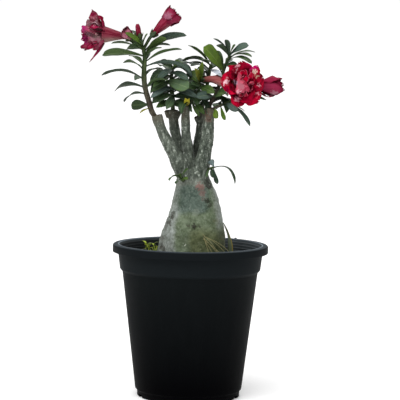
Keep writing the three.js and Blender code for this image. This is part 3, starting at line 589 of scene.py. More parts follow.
def plain_mesh(name, points, faces, facts=None):
    """A smooth-shaded mesh from points in mm, with the facts as attributes of its points."""
    mesh = bpy.data.meshes.new(name)
    mesh.from_pydata((np.asarray(points) * MM).tolist(), [], [list(map(int, f)) for f in faces])
    mesh.update()
    shade_smooth(mesh)
    if facts is not None:
        for k, fact in enumerate(FACT_NAMES):
            attribute = mesh.attributes.new(fact, "FLOAT", "POINT")
            attribute.data.foreach_set("value", np.ascontiguousarray(facts[:, k], np.float32))
    return mesh


def linked(name, data):
    """An object of this name in the scene."""
    made = bpy.data.objects.new(name, data)
    bpy.context.scene.collection.objects.link(made)
    return made


def shown(mesh, *materials):
    """An object with this mesh, named as it is, and these materials."""
    for material in materials:
        mesh.materials.append(material)
    return linked(mesh.name, mesh)


def applied(piece):
    """The piece's mesh with its modifiers worked in."""
    bpy.context.view_layer.update()
    seen = piece.evaluated_get(bpy.context.evaluated_depsgraph_get())
    mesh = bpy.data.meshes.new_from_object(seen)
    piece.modifiers.clear()
    old = piece.data
    piece.data = mesh
    bpy.data.meshes.remove(old)
    mesh.name = piece.name
    return piece


def joined(name, pieces):
    """One object from several, with their material slots and attributes kept."""
    bpy.ops.object.select_all(action="DESELECT")
    for p in pieces:
        p.select_set(True)
    bpy.context.view_layer.objects.active = pieces[0]
    bpy.ops.object.join()
    pieces[0].name = name
    pieces[0].data.name = name
    return pieces[0]


def placed(piece, slot, *nodes):
    """Puts a finished piece on the one body, in place of the nodes that are named."""
    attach(piece, "root")
    if nodes:
        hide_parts(*nodes)


# Materials
class Value:
    """A shader socket that works in Python expressions."""

    def __init__(self, finish, socket):
        self.finish, self.socket = finish, socket

    def _do(self, operation, *given):
        return self.finish.make("ShaderNodeMath", {"operation": operation}, list(given))["Value"]

    def __add__(self, other):
        return self._do("ADD", self, other)

    __radd__ = __add__

    def __sub__(self, other):
        return self._do("SUBTRACT", self, other)

    def __rsub__(self, other):
        return self._do("SUBTRACT", other, self)

    def __mul__(self, other):
        return self._do("MULTIPLY", self, other)

    __rmul__ = __mul__

    def __abs__(self):
        return self._do("ABSOLUTE", self)

    def clip(self):
        """The value held between 0 and 1."""
        return self.rise(0.0, 1.0, "LINEAR")

    def rise(self, lo, hi, how="SMOOTHSTEP"):
        """0 below lo, 1 above hi, and smooth between."""
        inputs = {"Value": self, "From Min": lo, "From Max": hi}
        return self.finish.make("ShaderNodeMapRange", {"interpolation_type": how}, inputs)["Result"]

    def sine(self):
        return self._do("SINE", self)


class Finish:
    """One node material, made node by node."""

    def __init__(self, name):
        self.material = bpy.data.materials.new(name)
        self.material.use_nodes = True
        self.tree = self.material.node_tree
        self.tree.nodes.clear()

    def make(self, kind, settings=None, inputs=None):
        """The outputs by name of a new node whose inputs hold these values or come from these sockets."""
        node = self.tree.nodes.new(kind)
        for key, value in (settings or {}).items():
            setattr(node, key, value)
        pairs = enumerate(inputs) if isinstance(inputs, list) else (inputs or {}).items()
        for key, value in pairs:
            socket = node.inputs[key]
            if isinstance(value, Value):
                self.tree.links.new(value.socket, socket)
            elif socket.type == "RGBA" and len(value) == 3:
                socket.default_value = (*value, 1)
            else:
                socket.default_value = value
        return {o.name: Value(self, o) for o in node.outputs if o.enabled}

    def fact(self, name):
        """What the mesh's attribute of this name says at each point."""
        return self.make("ShaderNodeAttribute", {"attribute_name": name})["Fac"]

    def place(self):
        return self.make("ShaderNodeTexCoord")["Object"]

    def axes(self):
        """The point's x, y and z in metres."""
        parts = self.make("ShaderNodeSeparateXYZ", None, [self.place()])
        return parts["X"], parts["Y"], parts["Z"]

    def stretched(self, scale, turn=(0, 0, 0)):
        """The place with its axes scaled, for grain that is drawn out."""
        inputs = {"Vector": self.place(), "Scale": scale, "Rotation": turn}
        return self.make("ShaderNodeMapping", None, inputs)["Vector"]

    def noise(self, size, detail=4.0, rough=0.55, where=None):
        """Cloudy values from 0 to 1 with features of about this size in metres."""
        inputs = {
            "Vector": where or self.place(), "Scale": 1 / size, "Detail": detail, "Roughness": rough,
        }
        return self.make("ShaderNodeTexNoise", None, inputs)["Fac"]

    def cells(self, size, where=None, feature="F1"):
        """The distance at each point in a pattern of uneven cells of about this size."""
        inputs = {"Vector": where or self.place(), "Scale": 1 / size}
        return self.make("ShaderNodeTexVoronoi", {"feature": feature}, inputs)["Distance"]

    def colours(self, share, a, b):
        """Colour a where the share is 0 and b where it is 1."""
        made = self.tree.nodes.new("ShaderNodeMix")
        made.data_type = "RGBA"
        for socket, value in zip((made.inputs[0], made.inputs[6], made.inputs[7]), (share, a, b)):
            if isinstance(value, Value):
                self.tree.links.new(value.socket, socket)
            else:
                socket.default_value = (*value, 1) if isinstance(value, tuple) else value
        return Value(self, made.outputs[2])

    def bent(self, size, amount):
        """The place seen from the front, pushed about by clouds of this size, for ragged marks."""
        cloud = self.make("ShaderNodeTexNoise", None, {
            "Vector": self.place(), "Scale": 1 / size, "Detail": 4.0, "Roughness": 0.65,
        })["Color"]
        ends = [cloud, (0.5, 0.5, 0.5)]
        push = self.make("ShaderNodeVectorMath", {"operation": "SUBTRACT"}, ends)["Vector"]
        both = [push, (amount, amount, amount), self.place()]
        moved = self.make("ShaderNodeVectorMath", {"operation": "MULTIPLY_ADD"}, both)["Vector"]
        return self.make("ShaderNodeVectorMath", {"operation": "MULTIPLY"}, [moved, (1, 0, 1)])["Vector"]

    def spot(self, x, z, radius, where):
        """1 at an x and z in metres whatever the depth, falling to 0 at the radius."""
        gap = self.make("ShaderNodeVectorMath", {"operation": "DISTANCE"}, [where, (x, 0, z)])["Value"]
        return 1 - gap.rise(0.0, radius)

    def end(self, colour, rough, height=None, depth=0.001, **extra):
        """The material with this colour, roughness and relief; extra names more inputs of its shader."""
        inputs = {"Base Color": colour, "Roughness": rough}
        inputs.update({k.replace("_", " "): v for k, v in extra.items()})
        if height is not None:
            bump = {"Strength": 1.0, "Distance": depth, "Height": height}
            inputs["Normal"] = self.make("ShaderNodeBump", None, bump)["Normal"]
        shader = self.make("ShaderNodeBsdfPrincipled", None, inputs)["BSDF"]
        self.make("ShaderNodeOutputMaterial", None, {"Surface": shader})
        return self.material


def srgb(r, g, b):
    """A colour as it shows on screen, 0 to 255, as light values."""
    return tuple(((c / 255 + 0.055) / 1.055) ** 2.4 if c > 10 else c / 255 / 12.92 for c in (r, g, b))


def leaf_green():
    """Tint runs from old dark green 0 to young green 1 and yellow 1.4; layer is a painted bluish-grey sheen,
    and above 1 a painted whitish highlight.
    """
    f = Finish("leaf_green")
    t, v, under, tint, dice, grey = (f.fact(n) for n in FACT_NAMES)
    deep = f.colours(dice, srgb(30, 52, 24), srgb(44, 66, 44))
    young = f.colours(dice, srgb(74, 104, 30), srgb(96, 122, 42))
    base = f.colours(tint.rise(0.1, 0.9, "LINEAR"), deep, young)
    base = f.colours(tint.rise(1.0, 1.4), base, srgb(176, 164, 44))
    base = f.colours((tint * -1.0).clip(), base, srgb(14, 20, 22))
    cloud = f.noise(0.012, 3.0)
    base = f.colours(cloud.rise(0.35, 0.75) * 0.4, base, srgb(24, 40, 28))
    side = abs(v)
    slant = t * 34.0 - side * 7.0
    veins = slant.sine().rise(0.86, 1.0) * side.rise(0.04, 0.2) * (1 - side.rise(0.8, 1.0))
    base = f.colours(veins * 0.14, base, srgb(98, 116, 72))
    rib = (1 - side.rise(0.02, 0.09)) * (1 - t.rise(0.86, 1.0))
    base = f.colours(rib * 0.42, base, srgb(126, 144, 88))
    rim = side.rise(0.86, 1.0)
    base = f.colours(rim * 0.5, base, srgb(44, 40, 44))
    base = f.colours(under * 0.25, base, srgb(84, 100, 70))
    # Painted sheen: the layer turns the leaf bluish grey, and above 1 a painted highlight turns it whitish
    sheen_share = grey * (0.5 + cloud * 0.8)
    base = f.colours(sheen_share.clip() * 0.75 * (1 - side.rise(0.6, 1.0) * 0.7), base, srgb(126, 142, 146))
    base = f.colours(grey.rise(1.0, 1.2) * (1 - cloud.rise(0.4, 0.6) * 0.7), base, srgb(190, 196, 206))
    # Painted shade where other parts of the plant crowd round the leaf
    base = f.colours(f.fact("shade_share").rise(0.25, 0.95) * 0.56, base, srgb(12, 26, 14))
    height = f.noise(0.0016, 2.0) * 0.15 + veins * -0.5 + rib * -0.6 + cloud * 0.4
    rough = 0.34 + cloud * 0.16 + under * 0.15
    return f.end(base, rough, height, 0.0005, Specular_IOR_Level=0.13)


def stem_skin():
    """Tint runs from brown bark 0 to green skin 1."""
    f = Finish("stem_skin")
    tint = f.fact("tint")
    grain = f.noise(0.006, 5.0, where=f.stretched((1, 1, 0.4)))
    bark = f.colours(grain.rise(0.3, 0.7), srgb(38, 33, 26), srgb(72, 66, 54))
    green = f.colours(grain.rise(0.3, 0.7), srgb(44, 64, 32), srgb(70, 90, 48))
    base = f.colours(tint, bark, green)
    dots = 1 - f.cells(0.0028).rise(0.18, 0.34)
    base = f.colours(dots * 0.3, base, srgb(120, 120, 100))
    # Painted shade where other parts of the plant crowd round the stem
    base = f.colours(f.fact("shade_share").rise(0.3, 1.0) * 0.45, base, srgb(18, 20, 14))
    return f.end(base, 0.6 + grain * 0.1, grain * 0.6 + dots * 0.4, 0.0005, Specular_IOR_Level=0.15)


def petal_finish(name, deep, bright, pale, outside, streak, rimmed, marks_and_highlights=()):
    """Layer 1 is the heart of the bloom; tint 1 is a pale petal and tint -1 a crimson one."""
    f = Finish(name)
    t, v, under, tint, dice, layer = (f.fact(n) for n in FACT_NAMES)
    side = abs(v)
    flow = f.make("ShaderNodeCombineXYZ", None, [v * 2.6 + dice * 9.0, t * 0.55, dice * 7.0])["Vector"]
    lines = f.noise(0.33, 5.0, 0.6, where=flow)
    fine = f.noise(0.12, 4.0, 0.6, where=flow)
    shade = f.noise(0.022, 3.0)
    heart = layer.rise(0.75, 0.95)
    base = f.colours((lines * 0.35 + shade * 0.65).rise(0.36, 0.62), deep, bright)
    pale_share = (lines * 0.5 + fine * 0.5).rise(0.46, 0.72) * (1 - t.rise(0.72, 1.0)) * streak
    base = f.colours(pale_share, base, pale)
    veil = f.colours(fine.rise(0.3, 0.75) * 0.5, outside, bright)
    base = f.colours(under * 0.85, base, veil)
    edge = (side.rise(0.6, 0.95) * 0.8 + t.rise(0.74, 0.98) * 0.9).clip()
    base = f.colours(edge * rimmed * (1 - heart), base, deep)
    base = f.colours((tint * (0.55 + lines * 0.6)).clip() * (1 - edge * 0.6), base, pale)
    base = f.colours((tint * -1.0).clip() * 0.8, base, f.colours(edge * 0.8, bright, deep))
    rim = (side.rise(0.86, 0.98) + t.rise(0.93, 1.0)).clip() * heart
    base = f.colours(rim * 0.7, base, pale)
    throat = 1 - t.rise(0.0, 0.3)
    base = f.colours(throat * 0.45, base, deep)
    bent = f.bent(0.005, 0.022)
    # Marks at given places; on the red bloom the pale ones are painted highlights, and on the top bloom two
    # are a painted sheen
    for x, z, radius, colour in marks_and_highlights:
        mark = f.spot(x * MM, z * MM, radius * MM, bent) * 1.4 + lines * 1.3 + fine * 1.1
        base = f.colours(mark.rise(1.8, 2.5), base, colour)
    # Painted shade where other parts of the plant crowd round the petal
    base = f.colours(f.fact("shade_share").rise(0.2, 0.95) * 0.7, base, tuple(c * 0.22 for c in deep))
    height = lines * 0.6 + fine * 0.5
    return f.end(base, 0.5 + lines * 0.15, height, 0.0007, Specular_IOR_Level=0.04)


def tube_finish(name, foot, body, stripe, below):
    """Tint 1 is the side that faces down."""
    f = Finish(name)
    t, v, tint, dice = (f.fact(n) for n in ("along", "across", "tint", "dice"))
    flow = f.make("ShaderNodeCombineXYZ", None, [v * 3.0, t * 0.5, dice * 7.0])["Vector"]
    lines = f.noise(0.22, 4.0, where=flow)
    base = f.colours(lines.rise(0.35, 0.66), body, stripe)
    base = f.colours((tint * t.rise(0.15, 0.7) * (0.5 + lines * 0.7)).clip(), base, below)
    base = f.colours(1 - t.rise(0.0, 0.3), base, foot)
    # Painted shade where other parts of the plant crowd round the tube
    base = f.colours(f.fact("shade_share").rise(0.3, 1.0) * 0.6, base, tuple(c * 0.25 for c in body))
    return f.end(base, 0.5, lines, 0.0006, Specular_IOR_Level=0.05)


# Marks on the front of the bark as (x, z, radius, colour, share), in mm
SCARS = [
    (13, 340, 13, srgb(124, 76, 72), 0.6), (18, 330, 11, srgb(116, 80, 76), 0.5),
    (21, 321, 8, srgb(104, 82, 74), 0.4), (25, 346, 12, srgb(34, 36, 28), 0.8),
    (28, 340, 8, srgb(40, 40, 32), 0.9), (26, 318, 10, srgb(34, 38, 28), 0.9),
    (30, 310, 9, srgb(44, 48, 36), 0.8), (-31, 290, 9, srgb(40, 38, 30), 0.8),
    (-36, 281, 9, srgb(46, 44, 34), 0.8), (-28, 297, 7, srgb(44, 44, 34), 0.7),
    (-40, 274, 7, srgb(56, 52, 42), 0.6), (5, 278, 8, srgb(30, 28, 20), 0.95),
    (-4, 279, 6, srgb(44, 44, 30), 0.7), (14, 277, 6, srgb(40, 40, 26), 0.6),
    (-45, 243, 9, srgb(56, 52, 44), 0.8), (-47, 255, 8, srgb(70, 66, 58), 0.6),
    (-41, 237, 7, srgb(50, 48, 38), 0.8), (-8, 256, 12, srgb(56, 62, 42), 0.35),
    (-20, 262, 11, srgb(58, 62, 44), 0.35), (-7.5, 248, 2.6, srgb(206, 210, 196), 1.0),
    (25, 447, 10, srgb(104, 66, 58), 0.55), (25, 447, 5, srgb(40, 26, 20), 0.9),
    (24, 456, 12, srgb(96, 66, 54), 0.6), (40, 285, 9, srgb(92, 92, 66), 0.4),
    (8, 300, 12, srgb(126, 134, 120), 0.35), (-6, 335, 9, srgb(104, 116, 104), 0.4),
]


def caudex_bark():
    """Bands of green, silver, olive and teal on the caudex, and ashy bark above its neck. The silver is
    partly painted light.
    """
    f = Finish("caudex_bark")
    x, y, z = f.axes()
    big = f.noise(0.045, 4.0)
    mid = f.noise(0.014, 5.0, 0.6)
    fine = f.noise(0.0035, 5.0, 0.65)
    streaks = f.noise(0.006, 5.0, 0.6, where=f.stretched((1.4, 1.4, 0.6)))
    neck = (z + big * 0.01).rise(0.345, 0.365)
    grain = (mid * 0.62 + fine * 0.38).rise(0.32, 0.66)
    green = f.colours(grain, srgb(70, 82, 58), srgb(106, 118, 96))
    silver_and_sheen = f.colours(grain, srgb(98, 104, 96), srgb(152, 158, 154))
    olive = f.colours(grain, srgb(50, 58, 30), srgb(90, 96, 60))
    teal = f.colours(grain, srgb(42, 58, 54), srgb(84, 98, 92))
    wander = (big - 0.5) * 0.024 + (mid - 0.5) * 0.008
    # Silver on the left flank is partly the bark's colour and partly painted light on the lit side; the
    # silver strip down the right flank is a painted sheen
    left = (x * -1.0 - 0.013 + (z - 0.3) * 0.1 + wander).rise(0.004, 0.014)
    right = (x - 0.032 + (z - 0.3) * 0.2 + wander).rise(0.0, 0.012) * z.rise(0.262, 0.29)
    base = f.colours((left * 0.85 + right * 0.8).clip(), green, silver_and_sheen)
    low = (1 - (z + wander).rise(0.262, 0.284)) * (x + 0.004 + wander).rise(-0.004, 0.008)
    base = f.colours(low * 0.8, base, olive)
    side = abs(x - 0.004)
    upper = (z + wander).rise(0.296, 0.305) * (1 - z.rise(0.34, 0.35)) * (1 - side.rise(0.016, 0.034))
    base = f.colours(upper * 0.8, base, teal)
    ashy = f.colours(grain, srgb(74, 79, 70), srgb(126, 131, 122))
    base = f.colours((z + wander).rise(0.336, 0.348), base, ashy)
    grey = f.colours(streaks.rise(0.35, 0.66), srgb(44, 51, 43), srgb(92, 100, 89))
    base = f.colours((neck * (x * 4.0 + 0.95)).clip(), base, grey)
    smear = f.noise(0.009, 5.0, 0.6, where=f.stretched((1.6, 1.6, 0.6)))
    base = f.colours(smear.rise(0.52, 0.68) * z.rise(0.33, 0.36) * 0.45, base, srgb(136, 144, 134))
    flakes = streaks.rise(0.53, 0.62) * fine.rise(0.48, 0.58)
    base = f.colours(flakes * (0.1 + neck * 0.55), base, srgb(176, 182, 172))
    dark = f.noise(0.005, 4.0, 0.6).rise(0.56, 0.66) * (0.35 + neck * 0.65)
    base = f.colours(dark * 0.45, base, srgb(42, 47, 38))
    specks = (1 - f.cells(0.0075).rise(0.06, 0.22)) * mid.rise(0.46, 0.56)
    base = f.colours(specks * 0.35 * (1 - neck), base, srgb(44, 44, 34))
    front = (y * -1.0).rise(0.0, 0.006)
    bent = f.bent(0.006, 0.016)
    speckle = (f.noise(0.0028, 3.0, 0.65) - 0.5) * 1.8
    for px, pz, radius, colour, share in SCARS:
        mark = f.spot(px * MM, pz * MM, radius * MM, bent) + speckle
        base = f.colours(mark.rise(0.3, 0.85) * front * share, base, colour)
    tops = (z - x * 0.12).rise(0.434, 0.458) * (mid * 0.6 + fine * 0.6).rise(0.34, 0.6)
    base = f.colours(tops * 0.55, base, srgb(84, 74, 60))
    where = f.stretched((1, 1, 2.2))
    cracks = 1 - f.cells(0.011, where, "DISTANCE_TO_EDGE").rise(0.0, 0.05)
    base = f.colours(cracks * big.rise(0.45, 0.65) * 0.4, base, srgb(50, 52, 40))
    # Painted shade in the crevices, where other parts of the plant crowd round the bark
    base = f.colours(f.fact("shade_share").rise(0.3, 1.0) * 0.55, base, srgb(24, 28, 20))
    height = mid * 0.5 + streaks * 0.25 + fine * 0.2 + flakes * 0.15 - cracks * 0.3 * big - dark * 0.1
    return f.end(base, 0.55 + mid * 0.2, height, 0.0012, Specular_IOR_Level=0.2)


def grained(name, size, detail, band, dark, light, rough, depth, shine, upright=1):
    """A plain finish that runs from dark to light with its grain."""
    f = Finish(name)
    grain = f.noise(size, detail, where=f.stretched((1, 1, upright)))
    base = f.colours(grain.rise(*band), srgb(*dark), srgb(*light))
    return f.end(base, rough, grain, depth, Specular_IOR_Level=shine)


def cut_wood():
    return grained("cut_wood", 0.004, 5.0, (0.3, 0.7), (42, 34, 26), (84, 72, 58), 0.85, 0.001, 0.1)


def scar_finish():
    band, dark, light = (0.35, 0.65), (78, 82, 72), (124, 130, 120)
    return grained("leaf_scars", 0.002, 3.0, band, dark, light, 0.75, 0.0003, 0.15)


def dry_straw():
    band, dark, light = (0.3, 0.7), (116, 112, 74), (152, 146, 108)
    return grained("dry_straw", 0.003, 4.0, band, dark, light, 0.7, 0.0004, 0.15, 0.2)


def pot_plastic():
    """Satin black with painted shade that darkens it downwards, and a painted highlight line along the inner
    top edge of the lip.
    """
    f = Finish("pot_plastic")
    x, y, z = f.axes()
    streak = f.noise(0.01, 4.0, where=f.stretched((1, 1, 0.05)))
    cloud = f.noise(0.05, 4.0)
    fine = f.noise(0.0007, 2.0)
    # Painted shade: the black gets darker towards the bottom
    high = z.rise(0.02, 0.2, "LINEAR")
    base = f.colours(high, srgb(0, 0, 1), srgb(14, 17, 18))
    base = f.colours(streak.rise(0.35, 0.7) * high * 0.15, base, srgb(20, 23, 25))
    dust = cloud.rise(0.55, 0.75) * high * 0.06 + (1 - z.rise(0.0, 0.012)) * 0.06
    base = f.colours(dust, base, srgb(40, 42, 42))
    collar = z.rise(0.2, 0.206)
    base = f.colours(collar * 0.85, base, srgb(22, 26, 28))
    base = f.colours(z.rise(0.231, 0.233) * 0.6, base, srgb(15, 18, 20))
    # Painted highlight along the inner top edge of the lip
    inner = 1 - (x * x + y * y).rise(0.01335, 0.01385)
    lip_highlight = z.rise(0.2435, 0.2447) * (inner * 0.8 + 0.15) * (cloud * 0.6 + 0.5)
    base = f.colours(lip_highlight, base, srgb(134, 146, 156))
    scratch = f.noise(0.0012, 3.0, where=f.stretched((3, 3, 0.3), (0.2, 0.1, 0.0)))
    height = fine * 0.2 + scratch * 0.15 + streak * 0.4
    return f.end(base, 0.5 + cloud * 0.16, height, 0.0003, Specular_IOR_Level=0.02)


def pot_inside():
    """The dusty inner wall of the collar, with a painted shadow over its left part."""
    f = Finish("pot_inside")
    x, _, z = f.axes()
    cloud = f.noise(0.03, 4.0)
    streak = f.noise(0.012, 4.0, where=f.stretched((1, 1, 0.1)))
    base = f.colours((cloud * 0.6 + streak * 0.4).rise(0.35, 0.65), srgb(18, 23, 24), srgb(50, 57, 60))
    base = f.colours(z.rise(0.222, 0.243) * 0.6, base, srgb(90, 97, 102))
    ribs = (z * 1337.0).sine().rise(0.2, 0.9) * z.rise(0.214, 0.218)
    base = f.colours(ribs * 0.4, base, srgb(110, 117, 122))
    # Painted shadow over the left part of the inner wall, below the rim
    shade = (x * -1.0).rise(0.0, 0.06) * (1 - z.rise(0.24, 0.2445))
    base = f.colours(shade * 0.75, base, srgb(5, 7, 8))
    return f.end(base, 0.6, streak, 0.0004, Specular_IOR_Level=0.15)


def potting_soil():
    """Dark soil with patches of moss."""
    f = Finish("potting_soil")
    big, fine = f.noise(0.02, 4.0), f.noise(0.0025, 5.0)
    base = f.colours(fine.rise(0.3, 0.7), srgb(30, 24, 18), srgb(72, 56, 40))
    moss = big.rise(0.52, 0.66) * fine.rise(0.35, 0.6)
    base = f.colours(moss * 0.6, base, srgb(84, 92, 40))
    return f.end(base, 0.95, fine + big, 0.003, Specular_IOR_Level=0.1)


def crumb_finish():
    """Brown crumbs, a few of them pale grit."""
    f = Finish("soil_crumbs")
    patch = f.noise(0.004, 2.0)
    base = f.colours(patch.rise(0.35, 0.6), srgb(40, 30, 22), srgb(96, 76, 54))
    base = f.colours(patch.rise(0.66, 0.68), base, srgb(170, 162, 146))
    return f.end(base, 0.9, f.noise(0.0015, 3.0), 0.001)


def weed_finish():
    """Dark at the soil and light green at the tips."""
    f = Finish("weed_green")
    v, dice = f.fact("across"), f.fact("dice")
    grain = f.noise(0.004, 4.0)
    high = f.axes()[2].rise(0.226, 0.24)
    base = f.colours(high * (0.1 + dice * 1.1), srgb(36, 50, 16), srgb(170, 190, 60))
    base = f.colours(grain.rise(0.4, 0.7) * 0.5, base, srgb(62, 78, 28))
    base = f.colours(abs(v).rise(0.75, 1.0) * 0.5, base, srgb(172, 178, 84))
    return f.end(base, 0.6, grain, 0.0004, Specular_IOR_Level=0.15)


def grass_finish():
    """Grey green with one dry edge and one dark edge."""
    f = Finish("grass_green")
    t, v = f.fact("along"), f.fact("across")
    grain = f.noise(0.006, 4.0, where=f.stretched((1, 1, 0.15)))
    base = f.colours(grain.rise(0.3, 0.7), srgb(64, 74, 58), srgb(98, 108, 86))
    base = f.colours(v.rise(0.35, 0.8), base, srgb(128, 116, 62))
    base = f.colours((v * -1.0).rise(0.5, 0.9) * 0.8, base, srgb(50, 56, 34))
    base = f.colours(t.rise(0.6, 0.9) * 0.5, base, srgb(44, 50, 34))
    return f.end(base, 0.6, grain, 0.0005, Specular_IOR_Level=0.15)


def pale_floor():
    f = Finish("pale_floor")
    cloud = f.noise(0.4, 2.0)
    base = f.colours(cloud * 0.2, (0.95, 0.95, 0.95), (0.92, 0.92, 0.92))
    return f.end(base, 0.9, Specular_IOR_Level=0.2, Emission_Color=base, Emission_Strength=0.12)


# Geometry node trees
class Tree:
    """A geometry node tree with named inputs, made node by node."""

    def __init__(self, name, sizes):
        self.tree = bpy.data.node_groups.new(name, "GeometryNodeTree")
        face = self.tree.interface
        face.new_socket("Geometry", in_out="INPUT", socket_type="NodeSocketGeometry")
        for label, (kind, value) in sizes.items():
            socket = face.new_socket(label, in_out="INPUT", socket_type=kind)
            if value is not None:
                socket.default_value = value
        face.new_socket("Geometry", in_out="OUTPUT", socket_type="NodeSocketGeometry")
        self.input = self.tree.nodes.new("NodeGroupInput").outputs

    def make(self, kind, settings=None, inputs=None):
        node = self.tree.nodes.new(kind)
        for key, value in (settings or {}).items():
            setattr(node, key, value)
        for key, value in (inputs or {}).items():
            if isinstance(value, bpy.types.NodeSocket):
                self.tree.links.new(value, node.inputs[key])
            else:
                node.inputs[key].default_value = value
        return node

    def finish(self, geometry, material, smooth=True):
        """The tree, ended in a smooth-shaded, realized mesh of this material."""
        if smooth:
            geometry = self.make("GeometryNodeSetShadeSmooth", None, {"Geometry": geometry}).outputs[0]
        real = self.make("GeometryNodeRealizeInstances", None, {"Geometry": geometry})
        skin = self.make("GeometryNodeSetMaterial", None, {"Geometry": real.outputs[0], "Material": material})
        out = self.make("NodeGroupOutput")
        self.tree.links.new(skin.outputs[0], out.inputs[0])
        return self.tree


def grown(piece, tree, **sizes):
    """The piece after the tree has run on it with these sizes."""
    modifier = piece.modifiers.new("grow", "NODES")
    modifier.node_group = tree
    named = {s.name: s.identifier for s in tree.interface.items_tree if s.in_out == "INPUT"}
    for label, value in sizes.items():
        modifier[named[label]] = value
    return applied(piece)


def stem_tree(material):
    """Sweeps a round section along a polyline whose points carry a radius."""
    t = Tree("stems", {"Sides": ("NodeSocketInt", 14)})
    line = t.make("GeometryNodeMeshToCurve", None, {"Mesh": t.input["Geometry"]})
    radius = t.make("GeometryNodeInputNamedAttribute", {"data_type": "FLOAT"}, {"Name": "thickness"})
    inputs = {"Curve": line.outputs[0], "Radius": radius.outputs[0]}
    sized = t.make("GeometryNodeSetCurveRadius", None, inputs)
    ring = t.make("GeometryNodeCurvePrimitiveCircle", None, {"Resolution": t.input["Sides"], "Radius": 1.0})
    inputs = {"Curve": sized.outputs[0], "Profile Curve": ring.outputs["Curve"], "Fill Caps": True}
    body = t.make("GeometryNodeCurveToMesh", None, inputs)
    if "Scale" in body.inputs:
        t.tree.links.new(radius.outputs[0], body.inputs["Scale"])
    return t.finish(body.outputs[0], material)


def crumb_tree(material):
    """Scatters small uneven lumps over the soil."""
    t = Tree("crumbs", {
        "Seed": ("NodeSocketInt", 3), "Each m2": ("NodeSocketFloat", 90000.0),
        "Smallest": ("NodeSocketFloat", 0.0006), "Largest": ("NodeSocketFloat", 0.0026),
    })
    inputs = {"Mesh": t.input["Geometry"], "Density": t.input["Each m2"], "Seed": t.input["Seed"]}
    spread = t.make("GeometryNodeDistributePointsOnFaces", None, inputs)
    lump = t.make("GeometryNodeMeshIcoSphere", None, {"Radius": 1.0, "Subdivisions": 1})
    inputs = {2: t.input["Smallest"], 3: t.input["Largest"], "Seed": 11}
    size = t.make("FunctionNodeRandomValue", {"data_type": "FLOAT"}, inputs)
    inputs = {0: (0.7, 0.6, 0.4), 1: (1.5, 1.3, 0.9), "Seed": 12}
    squash = t.make("FunctionNodeRandomValue", {"data_type": "FLOAT_VECTOR"}, inputs)
    inputs = {0: squash.outputs[0], "Scale": size.outputs[1]}
    scale = t.make("ShaderNodeVectorMath", {"operation": "SCALE"}, inputs)
    inputs = {0: (0, 0, 0), 1: (0.7, 0.7, 6.2), "Seed": 13}
    turn = t.make("FunctionNodeRandomValue", {"data_type": "FLOAT_VECTOR"}, inputs)
    put = t.make("GeometryNodeInstanceOnPoints", None, {
        "Points": spread.outputs[0], "Instance": lump.outputs[0],
        "Scale": scale.outputs[0], "Rotation": turn.outputs[0],
    })
    return t.finish(put.outputs[0], material, smooth=False)


def scar_tree(material):
    """Sets small flat leaf scars on the skin of the branches."""
    t = Tree("leaf_scars", {
        "Seed": ("NodeSocketInt", 5), "Each m2": ("NodeSocketFloat", 7000.0),
        "Apart": ("NodeSocketFloat", 0.0036), "Size": ("NodeSocketFloat", 0.0008),
    })
    spread = t.make("GeometryNodeDistributePointsOnFaces", {"distribute_method": "POISSON"}, {
        "Mesh": t.input["Geometry"], "Distance Min": t.input["Apart"],
        "Density Max": t.input["Each m2"], "Seed": t.input["Seed"],
    })
    knob = t.make("GeometryNodeMeshIcoSphere", None, {"Radius": 1.0, "Subdivisions": 2})
    inputs = {0: (1.3, 0.9, 0.35), "Scale": t.input["Size"]}
    flat = t.make("ShaderNodeVectorMath", {"operation": "SCALE"}, inputs)
    put = t.make("GeometryNodeInstanceOnPoints", None, {
        "Points": spread.outputs["Points"], "Instance": knob.outputs[0],
        "Scale": flat.outputs[0], "Rotation": spread.outputs["Rotation"],
    })
    return t.finish(put.outputs[0], material)


def rings_tree(material):
    """Thin rings stacked inside the pot's collar."""
    t = Tree("collar_rings", {
        "Count": ("NodeSocketInt", 6), "Step": ("NodeSocketFloat", 0.0047),
        "Radius": ("NodeSocketFloat", 0.1117), "Widening": ("NodeSocketFloat", 0.00436),
        "Lowest": ("NodeSocketFloat", 0.2168),
    })
    start = t.make("ShaderNodeCombineXYZ", None, {"Z": t.input["Lowest"]})
    lift = t.make("ShaderNodeCombineXYZ", None, {"Z": t.input["Step"]})
    inputs = {"Count": t.input["Count"], "Start Location": start.outputs[0], "Offset": lift.outputs[0]}
    stack = t.make("GeometryNodeMeshLine", {"mode": "OFFSET"}, inputs)
    inputs = {"Resolution": 144, "Radius": t.input["Radius"]}
    ring = t.make("GeometryNodeCurvePrimitiveCircle", None, inputs)
    bead = t.make("GeometryNodeCurvePrimitiveCircle", None, {"Resolution": 8, "Radius": 0.0007})
    inputs = {"Curve": ring.outputs["Curve"], "Profile Curve": bead.outputs["Curve"]}
    body = t.make("GeometryNodeCurveToMesh", None, inputs)
    number = t.make("GeometryNodeInputIndex")
    inputs = {0: number.outputs[0], 1: t.input["Widening"], 2: 1.0}
    grow = t.make("ShaderNodeMath", {"operation": "MULTIPLY_ADD"}, inputs)
    inputs = {"X": grow.outputs[0], "Y": grow.outputs[0], "Z": 1.0}
    scale = t.make("ShaderNodeCombineXYZ", None, inputs)
    inputs = {"Points": stack.outputs[0], "Instance": body.outputs[0], "Scale": scale.outputs[0]}
    put = t.make("GeometryNodeInstanceOnPoints", None, inputs)
    return t.finish(put.outputs[0], material)


